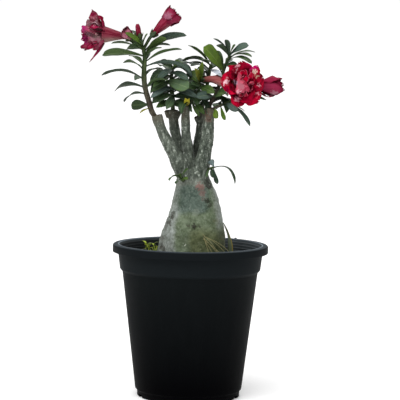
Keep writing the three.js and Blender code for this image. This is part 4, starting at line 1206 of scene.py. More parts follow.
# Pot
def rounded(corners, radius, steps=4):
    """A profile with each inner corner rounded."""
    pts = [np.array(c, float) for c in corners]
    out = [pts[0]]
    for a, b, c in zip(pts, pts[1:], pts[2:]):
        r = min(radius, 0.45 * np.linalg.norm(a - b), 0.45 * np.linalg.norm(c - b))
        p, q = b + unit(a - b) * r, b + unit(c - b) * r
        for k in range(steps + 1):
            f = k / steps
            out.append((1 - f) ** 2 * p + 2 * f * (1 - f) * b + f * f * q)
    out.append(pts[-1])
    return out


def turned_mesh(name, profile, sides):
    """A closed mesh of revolution from a profile of (radius, z) that starts and ends on the axis."""
    rings, points, faces = [], [], []
    for r, z in profile:
        if r < 1e-6:
            rings.append([len(points)])
            points.append((0, 0, z))
            continue
        rings.append(list(range(len(points), len(points) + sides)))
        for k in range(sides):
            a = 2 * math.pi * k / sides
            points.append((r * math.cos(a), r * math.sin(a), z))
    for low, high in zip(rings, rings[1:]):
        for k in range(sides):
            n = (k + 1) % sides
            if len(low) == 1:
                faces.append((low[0], high[n], high[k]))
            elif len(high) == 1:
                faces.append((low[k], low[n], high[0]))
            else:
                faces.append((low[k], low[n], high[n], high[k]))
    return plain_mesh(name, points, faces)


def notch_mesh():
    """The blocks that cut the drain notches out of the foot."""
    points, faces = [], []
    corners = [(sx * 8, sy * 6.5, 2.2 + sz * 2.8) for sx in (-1, 1) for sy in (-1, 1) for sz in (-1, 1)]
    sides = ((0, 1, 3, 2), (4, 6, 7, 5), (0, 4, 5, 1), (2, 3, 7, 6), (0, 2, 6, 4), (1, 5, 7, 3))
    for k in range(NOTCHES):
        a = (k + 0.5) * 2 * math.pi / NOTCHES
        c, s = math.cos(a), math.sin(a)
        n = len(points)
        points += [((FOOT_R + x) * c - y * s, (FOOT_R + x) * s + y * c, z) for x, y, z in corners]
        faces += [tuple(n + i for i in side) for side in sides]
    return plain_mesh("notches", points, faces)


def make_pot(plastic, sheen_share):
    """The pot with its drain notches, and the rings inside its collar."""
    profile = rounded([
        [0, 0], [FOOT_R - 0.6, 0], [FOOT_R, FOOT_Z], [BODY_LOW_R, FOOT_Z + 3], [BODY_TOP_R, STEP_Z - 1],
        [COLLAR_LOW_R, STEP_Z + 3.5], [COLLAR_TOP_R + 0.2, 231], [COLLAR_TOP_R + 1.2, LIP_UNDER_Z],
        [LIP_R - 2.4, LIP_UNDER_Z], [LIP_R - 2.2, LIP_EDGE_Z], [LIP_R, LIP_EDGE_Z],
        [LIP_R, POT_HEIGHT - 1.8], [LIP_R - 1.8, POT_HEIGHT], [LIP_INNER_R, POT_HEIGHT],
        [COLLAR_LOW_R - WALL - 0.2, STEP_Z + 4.4], [BODY_TOP_R - WALL - 0.6, STEP_Z - 0.4],
        [BODY_LOW_R - WALL + 0.2, 13], [FOOT_R - WALL, 10], [FOOT_R - WALL, FLOOR_THICK],
        [0, FLOOR_THICK],
    ], 1.1)
    pot = shown(turned_mesh("pot_shell", profile, POT_SIDES))
    cutter = shown(notch_mesh())
    cut = pot.modifiers.new("notches", "BOOLEAN")
    cut.operation, cut.object, cut.solver = "DIFFERENCE", cutter, "EXACT"
    applied(pot)
    bpy.data.objects.remove(cutter)
    # A small moulding nub stands on the back of the rim
    nub = [[74, 94, 243.5, 2.2], [74, 94, 245.6, 2.0], [74, 94, 246.8, 0.9]]
    nub = shown(ring_mesh("nub", tube_points(nub, STUB_STEPS, STUB_SIDES)))
    pot = joined("pot_shell", [pot, nub])
    shade_smooth(pot.data)
    pot.data.set_sharp_from_angle(angle=50 * RAD)
    pot.data.materials.clear()
    pot.data.materials.append(plastic)
    pot.data.materials.append(sheen_share)
    for face in pot.data.polygons:
        inward = face.normal.xy.dot(face.center.xy) < -0.6 * face.center.xy.length
        face.material_index = 1 if inward and face.center.z > 0.2 else 0
    rings = grown(shown(bpy.data.meshes.new("collar_rings")), rings_tree(sheen_share))
    placed(pot, "pot_plastic", "pot")
    placed(rings, "pot_plastic")


# Soil
def soil_height(r, a):
    """The height of the uneven soil at a radius and angle."""
    f = r / SOIL_R
    uneven = 1.6 * np.sin(4 * a + r * 0.1) * np.sin(r * 0.07) + 1.1 * np.sin(9 * a - r * 0.2)
    return SOIL_EDGE_Z + SOIL_MOUND * (1 - f * f) + uneven


def make_soil(ground, crumbs):
    """The closed bed of soil and the crumbs that lie on it."""
    sides = SOIL_SIDES
    a = np.arange(sides) * 2 * math.pi / sides
    points = [(0, 0, UNDERGROUND_Z)]
    radii = np.linspace(SOIL_R - 0.7, SOIL_MIDDLE_R, SOIL_STEPS + 1)
    rings = [(SOIL_FOOT_R, UNDERGROUND_Z), SOIL_BEND] + [(r, None) for r in radii]
    for r, z in rings:
        flat = np.stack([r * np.cos(a), r * np.sin(a), 0 * a], 1)
        top = soil_height(r, a) + 0.9 * lumps(flat, 9) if z is None else np.full(sides, z)
        points += list(zip(flat[:, 0], flat[:, 1], top))
    faces = [(0, 1 + (k + 1) % sides, 1 + k) for k in range(sides)]
    for i in range(len(rings) - 1):
        low, high = 1 + i * sides, 1 + (i + 1) * sides
        for k in range(sides):
            n = (k + 1) % sides
            faces.append((low + k, low + n, high + n, high + k))
    last = 1 + (len(rings) - 1) * sides
    points.append((0, 0, SOIL_MIDDLE_Z))
    faces += [(last + k, last + (k + 1) % sides, len(points) - 1) for k in range(sides)]
    soil = shown(plain_mesh("soil_bed", points, faces), ground)
    top = part_mesh("soil_crumbs", soil.data, lambda p: p.normal.z > 0.6 and p.center.xy.length > 0.05)
    scatter = grown(shown(top), crumb_tree(crumbs))
    placed(soil, "soil", "soil")
    placed(scatter, "soil")


# Trunk
def caudex_bulge(z, a):
    """How much wider than its table the caudex is at a height and angles."""
    rise = np.clip((z - UNDERGROUND_Z) / 90, 0, 1)
    ribs = 0.035 * np.cos(3 * a + 0.6 + z * 0.006) + 0.02 * np.cos(5 * a - z * 0.011)
    rough = 0.012 * np.sin(9 * a + z * 0.05) * np.sin(z * 0.09)
    return 1 + rise * (ribs * np.abs(np.sin(a)) ** 1.5 + rough)


def tube_points(path, steps, sides, swell=None):
    """Rings of points round a path; swell gives their share of the radius at t and angles a."""
    rings = []
    side = unit(np.cross([0, 1, 0], heading(path, 0)))
    for i in range(steps + 1):
        t = i / steps
        d = heading(path, t)
        p, r = along(path, t)
        side = unit(side - d * np.dot(side, d))
        other = np.cross(d, side)
        a = angles(sides)
        k = r * (swell(t, a) if swell else 1)
        rings.append(p + side * (k * np.cos(a))[:, None] + other * (k * np.sin(a))[:, None])
    return rings


def ring_mesh(name, rings, facts=None):
    """A closed mesh that joins the rings and caps both ends."""
    n = len(rings[0])
    points = np.concatenate(rings + [rings[0].mean(0, keepdims=True), rings[-1].mean(0, keepdims=True)])
    faces = []
    for i in range(len(rings) - 1):
        for j in range(n):
            k = (j + 1) % n
            faces.append((i * n + j, i * n + k, (i + 1) * n + k, (i + 1) * n + j))
    last = (len(rings) - 1) * n
    for j in range(n):
        k = (j + 1) % n
        faces.append((len(points) - 2, k, j))
        faces.append((len(points) - 1, last + j, last + k))
    if facts is not None:
        facts = np.concatenate([facts, facts[:1], facts[-1:]])
    return plain_mesh(name, points, faces, facts)


# Knobs and folds on the front of the bark as (x, z, size, rise, folds)
KNOBS = [(4, 277, 5, 1.6, 7), (-30, 286, 7, 1.3, 5), (24, 341, 6, 1.4, 4), (26, 312, 6, 1.2, 4)]


def bark_dents(co):
    """How far each point of the bark stands out or in, in mm."""
    high = ramp(co[:, 2], 345, 380)
    swollen = 0.9 * lumps(co * [1, 1, 1.5], 38, 1) + 0.45 * lumps(co, 15, 2)
    swollen = swollen + 0.2 * lumps(co * [0.6, 0.6, 1.6], 7, 3)
    woody = 0.3 * lumps(co * [0.5, 0.5, 1.6], 9, 4) + 0.25 * lumps(co * [0.4, 0.4, 2], 5, 5)
    woody = woody + 0.5 * lumps(co * [1, 1, 0.4], 12, 6)
    dent = (1 - high) * swollen + high * woody
    front = (co[:, 1] < 0) & (high < 0.5)
    for x, z, size, rise, folds in KNOBS:
        gap = np.hypot(co[:, 0] - x, co[:, 2] - z)
        angle = np.arctan2(co[:, 2] - z, co[:, 0] - x)
        knob = rise * np.exp(-(gap / size * 1.6) ** 2)
        fold = 0.5 * np.cos(folds * angle) * np.exp(-((gap - size * 1.7) / size) ** 2)
        dent = dent + np.where(front, knob - fold, 0)
    # Creases run round the neck below the left sprout
    creases = np.sin(co[:, 2] * 1.5 + 0.06 * co[:, 0]) * np.exp(-((co[:, 2] - 349) / 7) ** 2)
    dent = dent + np.where(front, 0.45 * creases * np.exp(-((co[:, 0] + 10) / 12) ** 2), 0)
    return dent


def trunk_parts():
    """The caudex, its branches and its stubs, not joined yet."""
    rings = []
    table = np.array(CAUDEX, float)
    a = angles(CAUDEX_SIDES)
    for z in np.linspace(UNDERGROUND_Z, NECK_Z, CAUDEX_STEPS):
        x, y, r = (np.interp(z, table[:, 0], table[:, k]) for k in (1, 2, 3))
        k = r * caudex_bulge(z, a)
        rings.append(np.stack([x + k * np.cos(a), y + k * np.sin(a), np.full_like(a, z)], 1))
    parts = [shown(ring_mesh("caudex", rings))]
    for number, (name, path) in enumerate(BRANCHES.items()):
        key = number * 2.3

        def swell(t, b, key=key):
            return 1 + 0.05 * np.sin(2 * b + 7 * t + key) + 0.035 * math.sin(23 * t + 2 * key)

        parts.append(shown(ring_mesh(name, tube_points(path, BRANCH_STEPS, BRANCH_SIDES, swell))))
    for s in STUBS:
        parts.append(shown(ring_mesh("stub", tube_points(s, STUB_STEPS, STUB_SIDES))))
    return parts


def make_trunk(bark, cut, scars):
    """The caudex and its branches as one skin, with bare wood on the cut tops."""
    trunk = joined("trunk_skin", trunk_parts())
    grid = trunk.modifiers.new("remesh", "REMESH")
    grid.mode, grid.voxel_size = "VOXEL", BARK_VOXEL * MM
    soft = trunk.modifiers.new("soft", "SMOOTH")
    soft.factor, soft.iterations = 0.5, 4
    applied(trunk)
    mesh = trunk.data
    co = np.zeros(len(mesh.vertices) * 3)
    normal = np.zeros(len(mesh.vertices) * 3)
    mesh.vertices.foreach_get("co", co)
    mesh.vertices.foreach_get("normal", normal)
    co = co.reshape(-1, 3) / MM
    co = co + normal.reshape(-1, 3) * bark_dents(co)[:, None]
    mesh.vertices.foreach_set("co", (co * MM).ravel())
    mesh.update()
    shade_smooth(mesh)
    mesh.materials.clear()
    mesh.materials.append(bark)
    mesh.materials.append(cut)
    number = np.zeros(len(mesh.polygons), np.int32)
    centre = np.array([p.center[:] for p in mesh.polygons]) / MM
    facing = np.array([p.normal[:] for p in mesh.polygons])
    for path in list(BRANCHES.values()) + STUBS[:3]:
        end, r = along(path, 1)
        way = heading(path, 1)
        away = centre - end
        on_top = (np.abs(away @ way) < 2.4) & (np.linalg.norm(away, axis=1) < r + 1.5)
        number[on_top & (facing @ way > 0.45)] = 1
    mesh.polygons.foreach_set("material_index", number)
    skin = part_mesh("leaf_scars", mesh, lambda p: p.center.z > NECK_Z * MM and p.material_index == 0)
    knobs = grown(shown(skin), scar_tree(scars))
    placed(trunk, "bark", "trunk")
    placed(knobs, "bark")
    return trunk


# Leafy stems
def polyline(name, lines):
    """Lines of [x, y, z, radius, tint] points as one mesh of edges."""
    points, edges, thickness, tint = [], [], [], []
    for line in lines:
        start = len(points)
        for x, y, z, r, g in line:
            points.append((x * MM, y * MM, z * MM))
            thickness.append(r * MM)
            tint.append(g)
        edges += [(i, i + 1) for i in range(start, len(points) - 1)]
    mesh = bpy.data.meshes.new(name)
    mesh.from_pydata(points, edges, [])
    for label, values in (("thickness", thickness), ("tint", tint)):
        mesh.attributes.new(label, "FLOAT", "POINT").data.foreach_set("value", values)
    return mesh


def fine_line(path, steps, tint_low=0.0, tint_high=0.0, knots=0.0):
    """Closely spaced [x, y, z, radius, tint] points on a path, with knots in its thickness."""
    out = []
    for i in range(steps + 1):
        t = i / steps
        p, r = along(path, t)
        r = r * (1 + knots * math.sin(31 * t + path[0][0]) * math.sin(17 * t))
        out.append([*p, r, mix(tint_low, tint_high, float(ramp(t, 0.35, 0.9)))])
    return out


def stalk_path(s):
    """A flower stalk's path, carried on into the foot of its bloom."""
    tube = BLOOMS[s["cup"]]["tube"]
    end = along(tube, 0)[0] - heading(tube, 0.02) * 2.5
    return s["path"] + [[*end, 2.1]]


def leaf_at(shoot, k, place, tip, w, bow, roll):
    """The blade of leaf number k, from its place on the stem to its tip."""
    p, r = along(shoot["path"], place)
    dice = draw(shoot["path"][0][0] + k * 5)
    return {
        **PLAIN, "b": p + unit(tip - p) * 0.4 * r, "t": tip, "w": w, "bow": bow, "roll": roll,
        "wave": LEAF_WAVE * w, "phase": dice * 6, "fold": 9 + 9 * dice, "number": k,
        "place": place, "dice": dice,
    }


def way_to(az, el):
    """The direction at this angle round the upright axis and above the level."""
    return np.array([math.cos(el) * math.cos(az), math.cos(el) * math.sin(az), math.sin(el)])


def rule_leaf(shoot, rule, i, k):
    """Leaf i of a rule, which has the number k on its stem."""
    count, start, end, facing, spread, low, high, long, wide, seed = rule
    f = i / (count - 1)
    az = (facing + spread * (((i * GOLDEN_SHARE) % 1) - 0.5)) * RAD
    el = mix(low, high, f) * RAD
    length = long * (0.82 + 0.32 * draw(seed + i))
    place = mix(start, end, f)
    tip = along(shoot["path"], place)[0] + way_to(az, el) * length
    width = wide * (0.85 + 0.25 * draw(seed + i + 5))
    roll = (draw(seed + i * 2) - 0.5) * 40
    return leaf_at(shoot, k, place, tip, width, RULE_BOW * length, roll)


def shoot_leaves(shoot):
    """All leaves of a stem at their first turn, the seen ones and those that its rules place."""
    made = []
    for k, (place, x, y, z, *form) in enumerate(shoot["leaves"]):
        made.append(leaf_at(shoot, k, place, np.array([x, y, z], float), *form))
    for row, rule in enumerate(shoot["rules"]):
        first = RULE_START * (row + 1)
        made += [rule_leaf(shoot, rule, i, first + i) for i in range(rule[0])]
    return made


def turned_tip(b, t, turn):
    """The tip t of a leaf rooted at b after a turn and a lift in degrees."""
    d = t - b
    length = np.linalg.norm(d)
    az = math.atan2(d[1], d[0]) + turn[0] * RAD
    el = min(math.asin(d[2] / length) + turn[1] * RAD, 80 * RAD)
    return b + way_to(az, el) * length


def solid_points(node):
    """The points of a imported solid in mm, ready for finding the nearest."""
    mesh = frame["nodes"][node].data
    tree = KDTree(len(mesh.vertices))
    for i, v in enumerate(mesh.vertices):
        tree.insert(v.co / MM, i)
    tree.balance()
    return tree


def leaves_as_packed(shoot):
    """Each leaf at the turn that its solid has, found by the corners of the solid's tip."""
    solid = solid_points(shoot["name"])
    for s in shoot_leaves(shoot):
        for turn in TURNS:
            tried = {**s, "t": turned_tip(s["b"], s["t"], turn)}
            found = sum(solid.find(Vector(c))[2] < 0.03 for c in cad_tip_corners(tried))
            if found >= 2:
                yield tried
                break


def calyx_mesh(name, tube):
    """Five pointed sepals in a small cup."""
    d = heading(tube, 0.02)
    foot = along(tube, 0)[0] - d * GAP
    side = unit(np.cross([0, 0, 1], d))
    other = np.cross(d, side)
    a = angles(CUP_SIDES)
    point = (0.5 - 0.5 * np.cos(5 * a)) ** 0.8
    shapes = [
        (2.2, -2.8, 0, 0), (3.8, -2.0, 0, 0), (5, -0.6, 0, 0.1), (6.4, 2.0, 2.4, 0.5),
        (7.4, 3.4, 5.2, 0.7), (6.8, 3.5, 5.0, 0.7), (5.6, 1.6, 2.6, 0.5), (3.5, 0, 0, 0),
    ]
    rings = []
    for r, h, reach, pinch in shapes:
        rr = r * (1 - 0.06 * pinch * (1 - point))
        hh = h + reach * point
        across = side * (rr * np.cos(a))[:, None] + other * (rr * np.sin(a))[:, None]
        rings.append(foot + d * hh[:, None] + across)
    facts = np.zeros((len(rings) * CUP_SIDES, len(FACT_NAMES)))
    facts[:, FACT_NAMES.index("tint")] = 0.6
    return ring_mesh(name, rings, facts)


# How young the leaves of each stem look, from 0 dark to 1 bright, and single leaves that differ:
# the first number is the leaf's tint and the second its painted sheen
YOUNG = {
    "leafy_stem_left": 0.08, "leafy_stem_middle": 0.12, "leafy_stem_centre": 0.2,
    "leafy_stem_back": 0.12, "leafy_stem_right": 0.15, "leafy_stem_low_right": 0.15,
    "neck_sprout_left": 0.35, "neck_sprout_right": 0.2,
}
TONES = {
    "leafy_stem_left": {
        1: (0.35, 0.0), 2: (0.25, 0.0), 3: (-0.8, 0.05), 4: (-0.7, 0.1), 5: (-0.6, 0.05), 6: (-0.2, 0.0),
        7: (1.3, 0.0), 8: (0.65, 0.0), 9: (0.1, 0.3), 11: (0.3, 0.0), 12: (-0.1, 0.35), 13: (0.8, 0.0),
    },
    "leafy_stem_middle": {
        0: (0.5, 0.25), 1: (0.1, 0.35), 81: (0.35, 0.15), 82: (0.1, 0.4), 83: (0.1, 0.5), 84: (0.4, 0.1),
        85: (0.1, 0.2), 86: (0.0, 0.3),
    },
    "leafy_stem_centre": {
        0: (0.4, 0.0), 1: (0.4, 0.0), 2: (1.3, 0.0), 3: (1.4, 0.0), 4: (1.15, 0.0), 5: (1.05, 0.0),
    },
    "leafy_stem_back": {1: (0.45, 0.0), 2: (0.1, 1.2)},
    "leafy_stem_right": {
        0: (0.85, 0.0), 1: (0.3, 0.0), 2: (0.2, 0.3), 3: (0.2, 0.3), 4: (0.2, 0.15), 6: (0.0, 0.3),
        7: (0.3, 0.0), 8: (0.25, 0.0), 9: (0.05, 0.3),
    },
    "leafy_stem_low_right": {1: (0.15, 0.5), 2: (0.05, 0.2), 3: (0.95, 0.0), 4: (1.05, 0.0)},
    "neck_sprout_right": {0: (-0.3, 0.0), 1: (-0.3, 0.1), 2: (-0.4, 0.0), 4: (0.1, 1.0)},
    "neck_sprout_left": {0: (0.3, 0.0), 1: (0.35, 0.0), 2: (0.2, 0.0)},
}
CAMERAWARD = np.array([0.05, -1, 0.35])
SKYWARD = np.array([0.0, -0.8, 0.75])
UPRIGHT = np.array([0, -1, 0.3])
FORWARD = np.array([0.1, -1, 0.5])


def reaching(px, py, y, **form):
    """The form of a blade whose tip shows at this place of the picture, at depth y."""
    return {"t": place_at(px, py, y), **form}


def laid(tip, w, up, bow, root=None, **form):
    """A leaf that faces up and reaches the tip's place in the picture, from the root's if it is given."""
    form = {"w": w, "up": up, "bow": bow, "roll": 0, "sweep": 0, **form}
    if root:
        form["b"] = place_at(*root)
    return reaching(*tip, **form)


# Single leaves whose fine form differs a little from their plain solids, by stem and number
LEAF_FORMS = {
    "leafy_stem_left": {
        1: {"kind": "blunt", "roll": 44, "bow": 6, "w": 18},
        3: {"w": 16, "bow": 10, "roll": 20},
        4: {"kind": "blunt", "roll": 34},
        5: {"kind": "blunt", "roll": 28},
        11: {"roll": -8, "bow": 5},
        12: {"bow": 13, "w": 17},
        13: {"t": np.array([-107.5, -53, 581.5]), "up": FORWARD, "w": 9, "roll": 0, "bow": 6},
    },
    "leafy_stem_middle": {
        0: laid((189, 88, -32), 24, CAMERAWARD, 3, (166, 81.5, 2), kind="blunt"),
        4: {"bow": 9},
        5: laid((153.5, 87, -28), 15, SKYWARD, 7, (172.5, 76.5, 4)),
        6: reaching(192.5, 98.5, -26, w=17),
        7: reaching(156.5, 107.0, -22, w=13),
        80: laid((166.5, 108.5, -24), 15, CAMERAWARD, 3, (174, 97, 4)),
        81: laid((151.5, 103.5, -18), 14, SKYWARD, 6, (174.5, 95, 4)),
        82: laid((199, 98.5, -30), 14, SKYWARD, 7, (169.5, 90, 4)),
        83: laid((151, 97.5, -24), 13, SKYWARD, 7, (174.5, 88, 4)),
        84: laid((150.5, 92, -22), 13, SKYWARD, 7, (174.5, 83, 4)),
        85: laid((189, 81, -28), 14, SKYWARD, 7, (170, 74, 2)),
        86: laid((157.5, 81, -24), 14, SKYWARD, 7, (173.5, 71, 2)),
    },
    "leafy_stem_centre": {
        2: laid((185.2, 97.4, -32), 8, UPRIGHT, 2, (186.5, 105, -9)),
        3: laid((189.4, 98.0, -34), 7, UPRIGHT, 1, (187.5, 105, -9)),
        4: laid((194.6, 68.4, -40), 12, np.array([0.5, -1, 0.3]), 2),
        5: laid((202.4, 61.6, -38), 9, UPRIGHT, 2),
        8: laid((188.5, 88, -30), 14, CAMERAWARD, 3),
        9: laid((214.5, 93, -28), 16, CAMERAWARD, 3),
        82: laid((197, 104.5, -26), 15, CAMERAWARD, 3),
    },
    "leafy_stem_right": {
        0: reaching(203.5, 47.5, -17, w=26, kind="blunt"),
        1: {"w": 10},
        6: {"kind": "blunt", "w": 15},
        9: laid((196.5, 96.5, -40), 17, CAMERAWARD, 3, (213, 96, -12), roll=8),
    },
    "leafy_stem_back": {2: laid((221.5, 76.5, -33), 10, FORWARD, 3)},
    "leafy_stem_low_right": {1: {"w": 13}, 2: {"w": 10.5, "bow": 11}},
    "neck_sprout_left": {0: {"w": 9}, 1: {"w": 10, "kind": "blunt"}, 2: {"w": 9}},
    "neck_sprout_right": {0: {"w": 8, "bow": 14}, 1: {"w": 7.5}, 4: {"w": 11}},
}
# How far in degrees a leaf that points forwards swings aside and sinks, and how wide the leaves of
# a stem's first rule are against their solids
SWING = 38
DROOP = -20
RULE_WIDTH = {
    "leafy_stem_right": 0.62, "leafy_stem_left": 0.8, "leafy_stem_middle": 1.0, "leafy_stem_centre": 1.05,
    "leafy_stem_back": 1.0,
}
DENSE_STEMS = ("leafy_stem_middle", "leafy_stem_centre", "leafy_stem_back")
# How green, from 0 to 1, the low end of a stem is where it isn't bark
GREEN_STEMS = {"leafy_stem_middle": 0.8, "leafy_stem_centre": 0.5, "leafy_stem_back": 0.6}


def swung(name, s):
    """A leaf in its fine form: whorl leaves have a tip, and those that point forwards swing aside."""
    d = unit(s["t"] - s["b"])
    if s["number"] < RULE_START:
        return {**s, "kind": "tipped", "w": 0.92 * s["w"]} if name in DENSE_STEMS else s
    w = s["w"] * (RULE_WIDTH.get(name, 0.9) if s["number"] < 2 * RULE_START else 0.95)
    if d[1] > -0.6:
        return {**s, "kind": "tipped", "w": w}
    side = math.copysign(1, d[0] + 0.2 * (s["dice"] - 0.5))
    tip = turned_tip(s["b"], s["t"], (side * SWING, DROOP))
    return {**s, "kind": "tipped", "t": tip, "w": 0.84 * w, "sweep": side * -4, "bow": s["bow"] * 1.2}


def leaf_tone(name, s):
    """A leaf's tint and painted sheen."""
    old = YOUNG[name] + 0.6 * max(s["place"] - 0.7, 0) + 0.45 * (s["dice"] - 0.5)
    grey = max(0.8 * draw(s["dice"] * 40) - 0.58, 0)
    return TONES[name].get(s["number"], (old, grey))


def make_shoot(shoot, green, skin, stems):
    """A leafy stem as two pieces: its leaves, and its stem with the stalks and calyces."""
    name = shoot["name"]
    blades = Blades()
    for s in leaves_as_packed(shoot):
        # grey is the leaf's painted sheen
        tint, grey = leaf_tone(name, s)
        fine = {**swung(name, s), "root": 0.7, **LEAF_FORMS[name].get(s["number"], {})}
        frills = 0.012 * s["w"]
        blades.add(fine, *LEAF_MESH, frills=frills, tint=tint, dice=s["dice"], layer=grey)
    leaves = shown(blades.mesh(name + "_leaves"), green)
    small = name.startswith("neck")
    low, high = (0.6, 1.0) if small else (GREEN_STEMS.get(name, 0.0), 0.85)
    lines = [fine_line(shoot["path"], 40, low, high, 0.07)]
    lines += [fine_line(stalk_path(s), 14, 0.8, 1.0) for s in shoot["stalks"]]
    stem = grown(shown(polyline(name + "_stem", lines)), stems)
    cups = [calyx_mesh(name + "_cup", BLOOMS[s["cup"]]["tube"]) for s in shoot["stalks"]]
    if cups:
        stem = joined(name + "_stem", [stem] + [shown(cup, skin) for cup in cups])
    placed(leaves, "leaf", name)
    placed(stem, "leaf", name)
    return [leaves, stem]


# Blooms
PETAL = {**PLAIN, "kind": "petal", "fold": 4, "cup": 0.16, "waves": 1.6, "root": 0.5}


def bloom_petals(b):
    """Each petal of a bloom as its blade, a random share and the number of its layer."""
    d = heading(b["tube"], 1)
    mouth = along(b["tube"], 1)[0]
    side = unit(np.cross([0, 0, 1], d))
    other = np.cross(d, side)

    def outward(a):
        return side * math.cos(a) + other * math.sin(a)

    for layer, (count, first, r0, h0, r1, h1, w, bow, swirl) in enumerate(b["layers"]):
        for k in range(count):
            dice = draw(layer * 17 + k * 3 + b["tube"][0][0])
            a = (first + k * 360 / count + (dice - 0.5) * 16) * RAD
            a2 = a + swirl * RAD
            reach = 0.9 + 0.2 * draw(layer * 7 + k + 2)
            root = mouth + d * h0 + outward(a) * r0
            tip = mouth + d * h1 * reach + outward(a2) * r1 * reach
            spec = {
                **PETAL, "b": root, "t": tip, "w": w, "bow": bow, "up": d - outward(a),
                "wave": b["ruffle"], "phase": dice * 6, "roll": b["turn"] + (dice - 0.5) * 6,
            }
            yield spec, dice, layer


# Petals whose fine form differs from their plain solids, by bloom and number.
# On the double bloom, number 14 is the fold that stands before the heart
PETAL_FORMS = {
    "bloom_left": {
        0: reaching(91.2, 29.5, -50, w=13, bow=5, up=np.array([0.2, -0.9, 0.5])),
        1: reaching(92.6, 11.8, -12, w=16),
        3: reaching(90.2, 62.6, -20, w=6.5, kind="strap", wave=0.3, roll=0, up=np.array([0.2, -1, 0])),
        4: reaching(95.5, 45.4, -56, w=20),
        8: reaching(84.5, 49.6, -26, w=22),
    },
    "bloom_double": {
        0: reaching(262.6, 76.4, -46),
        2: reaching(219.6, 80.0, -64),
        3: reaching(236.8, 106.4, -57, w=28),
        4: reaching(258.6, 99.8, -45),
        5: reaching(257.0, 65.4, -54, w=27),
        6: reaching(227.6, 65.6, -64, w=28),
        7: reaching(226.4, 92.4, -65, w=24),
        8: reaching(249.4, 102.4, -57, w=30),
        9: reaching(261.0, 90.0, -52, w=28),
        11: reaching(233.5, 78.5, -66, w=14),
        12: reaching(231.5, 89.0, -66, w=16),
        14: {
            "b": place_at(238.2, 72.0, -63), "t": place_at(241.6, 92.4, -73), "w": 25, "kind": "fan",
            "fold": -14, "up": np.array([-0.3, -1, 0.15]), "roll": 0, "bow": 1, "wave": 0.5, "cup": 0,
        },
    },
    "bloom_right": {
        0: reaching(281.0, 80.2, -2),
        1: reaching(281.6, 79.2, -15, w=22),
        2: reaching(284.4, 89.8, -22),
        3: reaching(272.5, 96.6, -12, w=17),
        4: reaching(283.0, 91.0, 0),
        7: reaching(283.4, 84.2, -18, w=20),
    },
}
# How pale, or below 0 how crimson, a petal is
PETAL_TINTS = {
    "bloom_left": {0: -1.0, 1: 0.1, 2: -0.8, 3: -1.0, 4: -0.3, 5: 0.4, 6: -0.9, 7: -0.3, 9: 0.35, 10: 0.2},
    "bloom_double": {14: 0.6},
    "bloom_right": {0: -0.8, 1: -0.7, 2: 0.0, 3: 0.55, 4: -0.8, 5: -0.8, 6: -0.8, 7: -0.6, 8: -0.8},
}
# How pale all the petals of a bloom are
BLOOM_TINTS = {"bud_half_open": 0.2}
PETAL_KINDS = {
    "bloom_double": "pointed", "bloom_right": "pointed", "bloom_top": "trumpet", "bud_half_open": "trumpet",
}
# Tubes whose fine form is wider or slimmer than their plain solids: the radius at each path point
FLARED_TUBES = {
    "bud_small": [2.1, 3.9, 4.3, 3.8, 1.9], "bloom_left": [2.6, 5.2, 9.6, 15],
    "bloom_double": [2.8, 6.2, 11.5, 15, 15],
}
# How far the outer petals' roots stand out on such a tube
ROOTS_OUT = 1.3

# Small petals that only the look has: [root, tip, width, bow, roll, toward, tint, layer]
LOOSE_PETALS = {
    "bloom_left": [
        [(100, 44, -42), (89.5, 50, -54), 9, 3, 20, [0.1, -0.9, 0.2], -0.6, 0.3],
        [(99, 42, -46), (82.5, 48, -50), 8, 2, -20, [0.1, -0.9, 0.2], -0.3, 0.3],
        [(99, 36, -44), (83.5, 27.5, -44), 9, 3, 10, [0.2, -0.9, 0.3], 0.1, 0.3],
        [(104.5, 31, -30), (99.6, 16.6, -33), 11, 3, 30, [0.5, -0.8, 0.2], -1.0, 0.3],
    ],
    "bloom_double": [
        [(243, 80, -60), (239.5, 70.2, -72), 9, 3, 25, [-0.2, -0.8, 0.6], -0.2, 1.0],
        [(244, 80, -60), (244.5, 69.2, -71), 10, 3, -20, [0.0, -0.8, 0.6], -0.4, 1.0],
        [(245, 80, -60), (249.5, 71.5, -70), 10, 3, 30, [0.4, -0.8, 0.4], -0.2, 1.0],
        [(244, 82, -60), (247.0, 76.0, -74), 9, 3, 70, [0.2, -0.8, 0.6], -0.5, 1.0],
        [(243, 83, -60), (242.5, 75.0, -75), 9, 3, -60, [-0.2, -0.8, 0.6], -0.3, 1.0],
        [(246, 84, -60), (251.5, 80.5, -70), 8, 2, 10, [0.5, -0.8, 0.1], 0.5, 0.9],
        [(247, 90, -60), (250.5, 86.0, -70), 7, 2, 50, [0.5, -0.8, 0.1], 0.35, 0.9],
        [(243, 89, -60), (246.5, 94.5, -72), 9, 3, 20, [0.1, -1, -0.4], 0.2, 1.0],
        [(241, 90, -60), (238.0, 94.5, -71), 8, 2, -20, [-0.1, -1, -0.4], -0.3, 1.0],
    ],
}
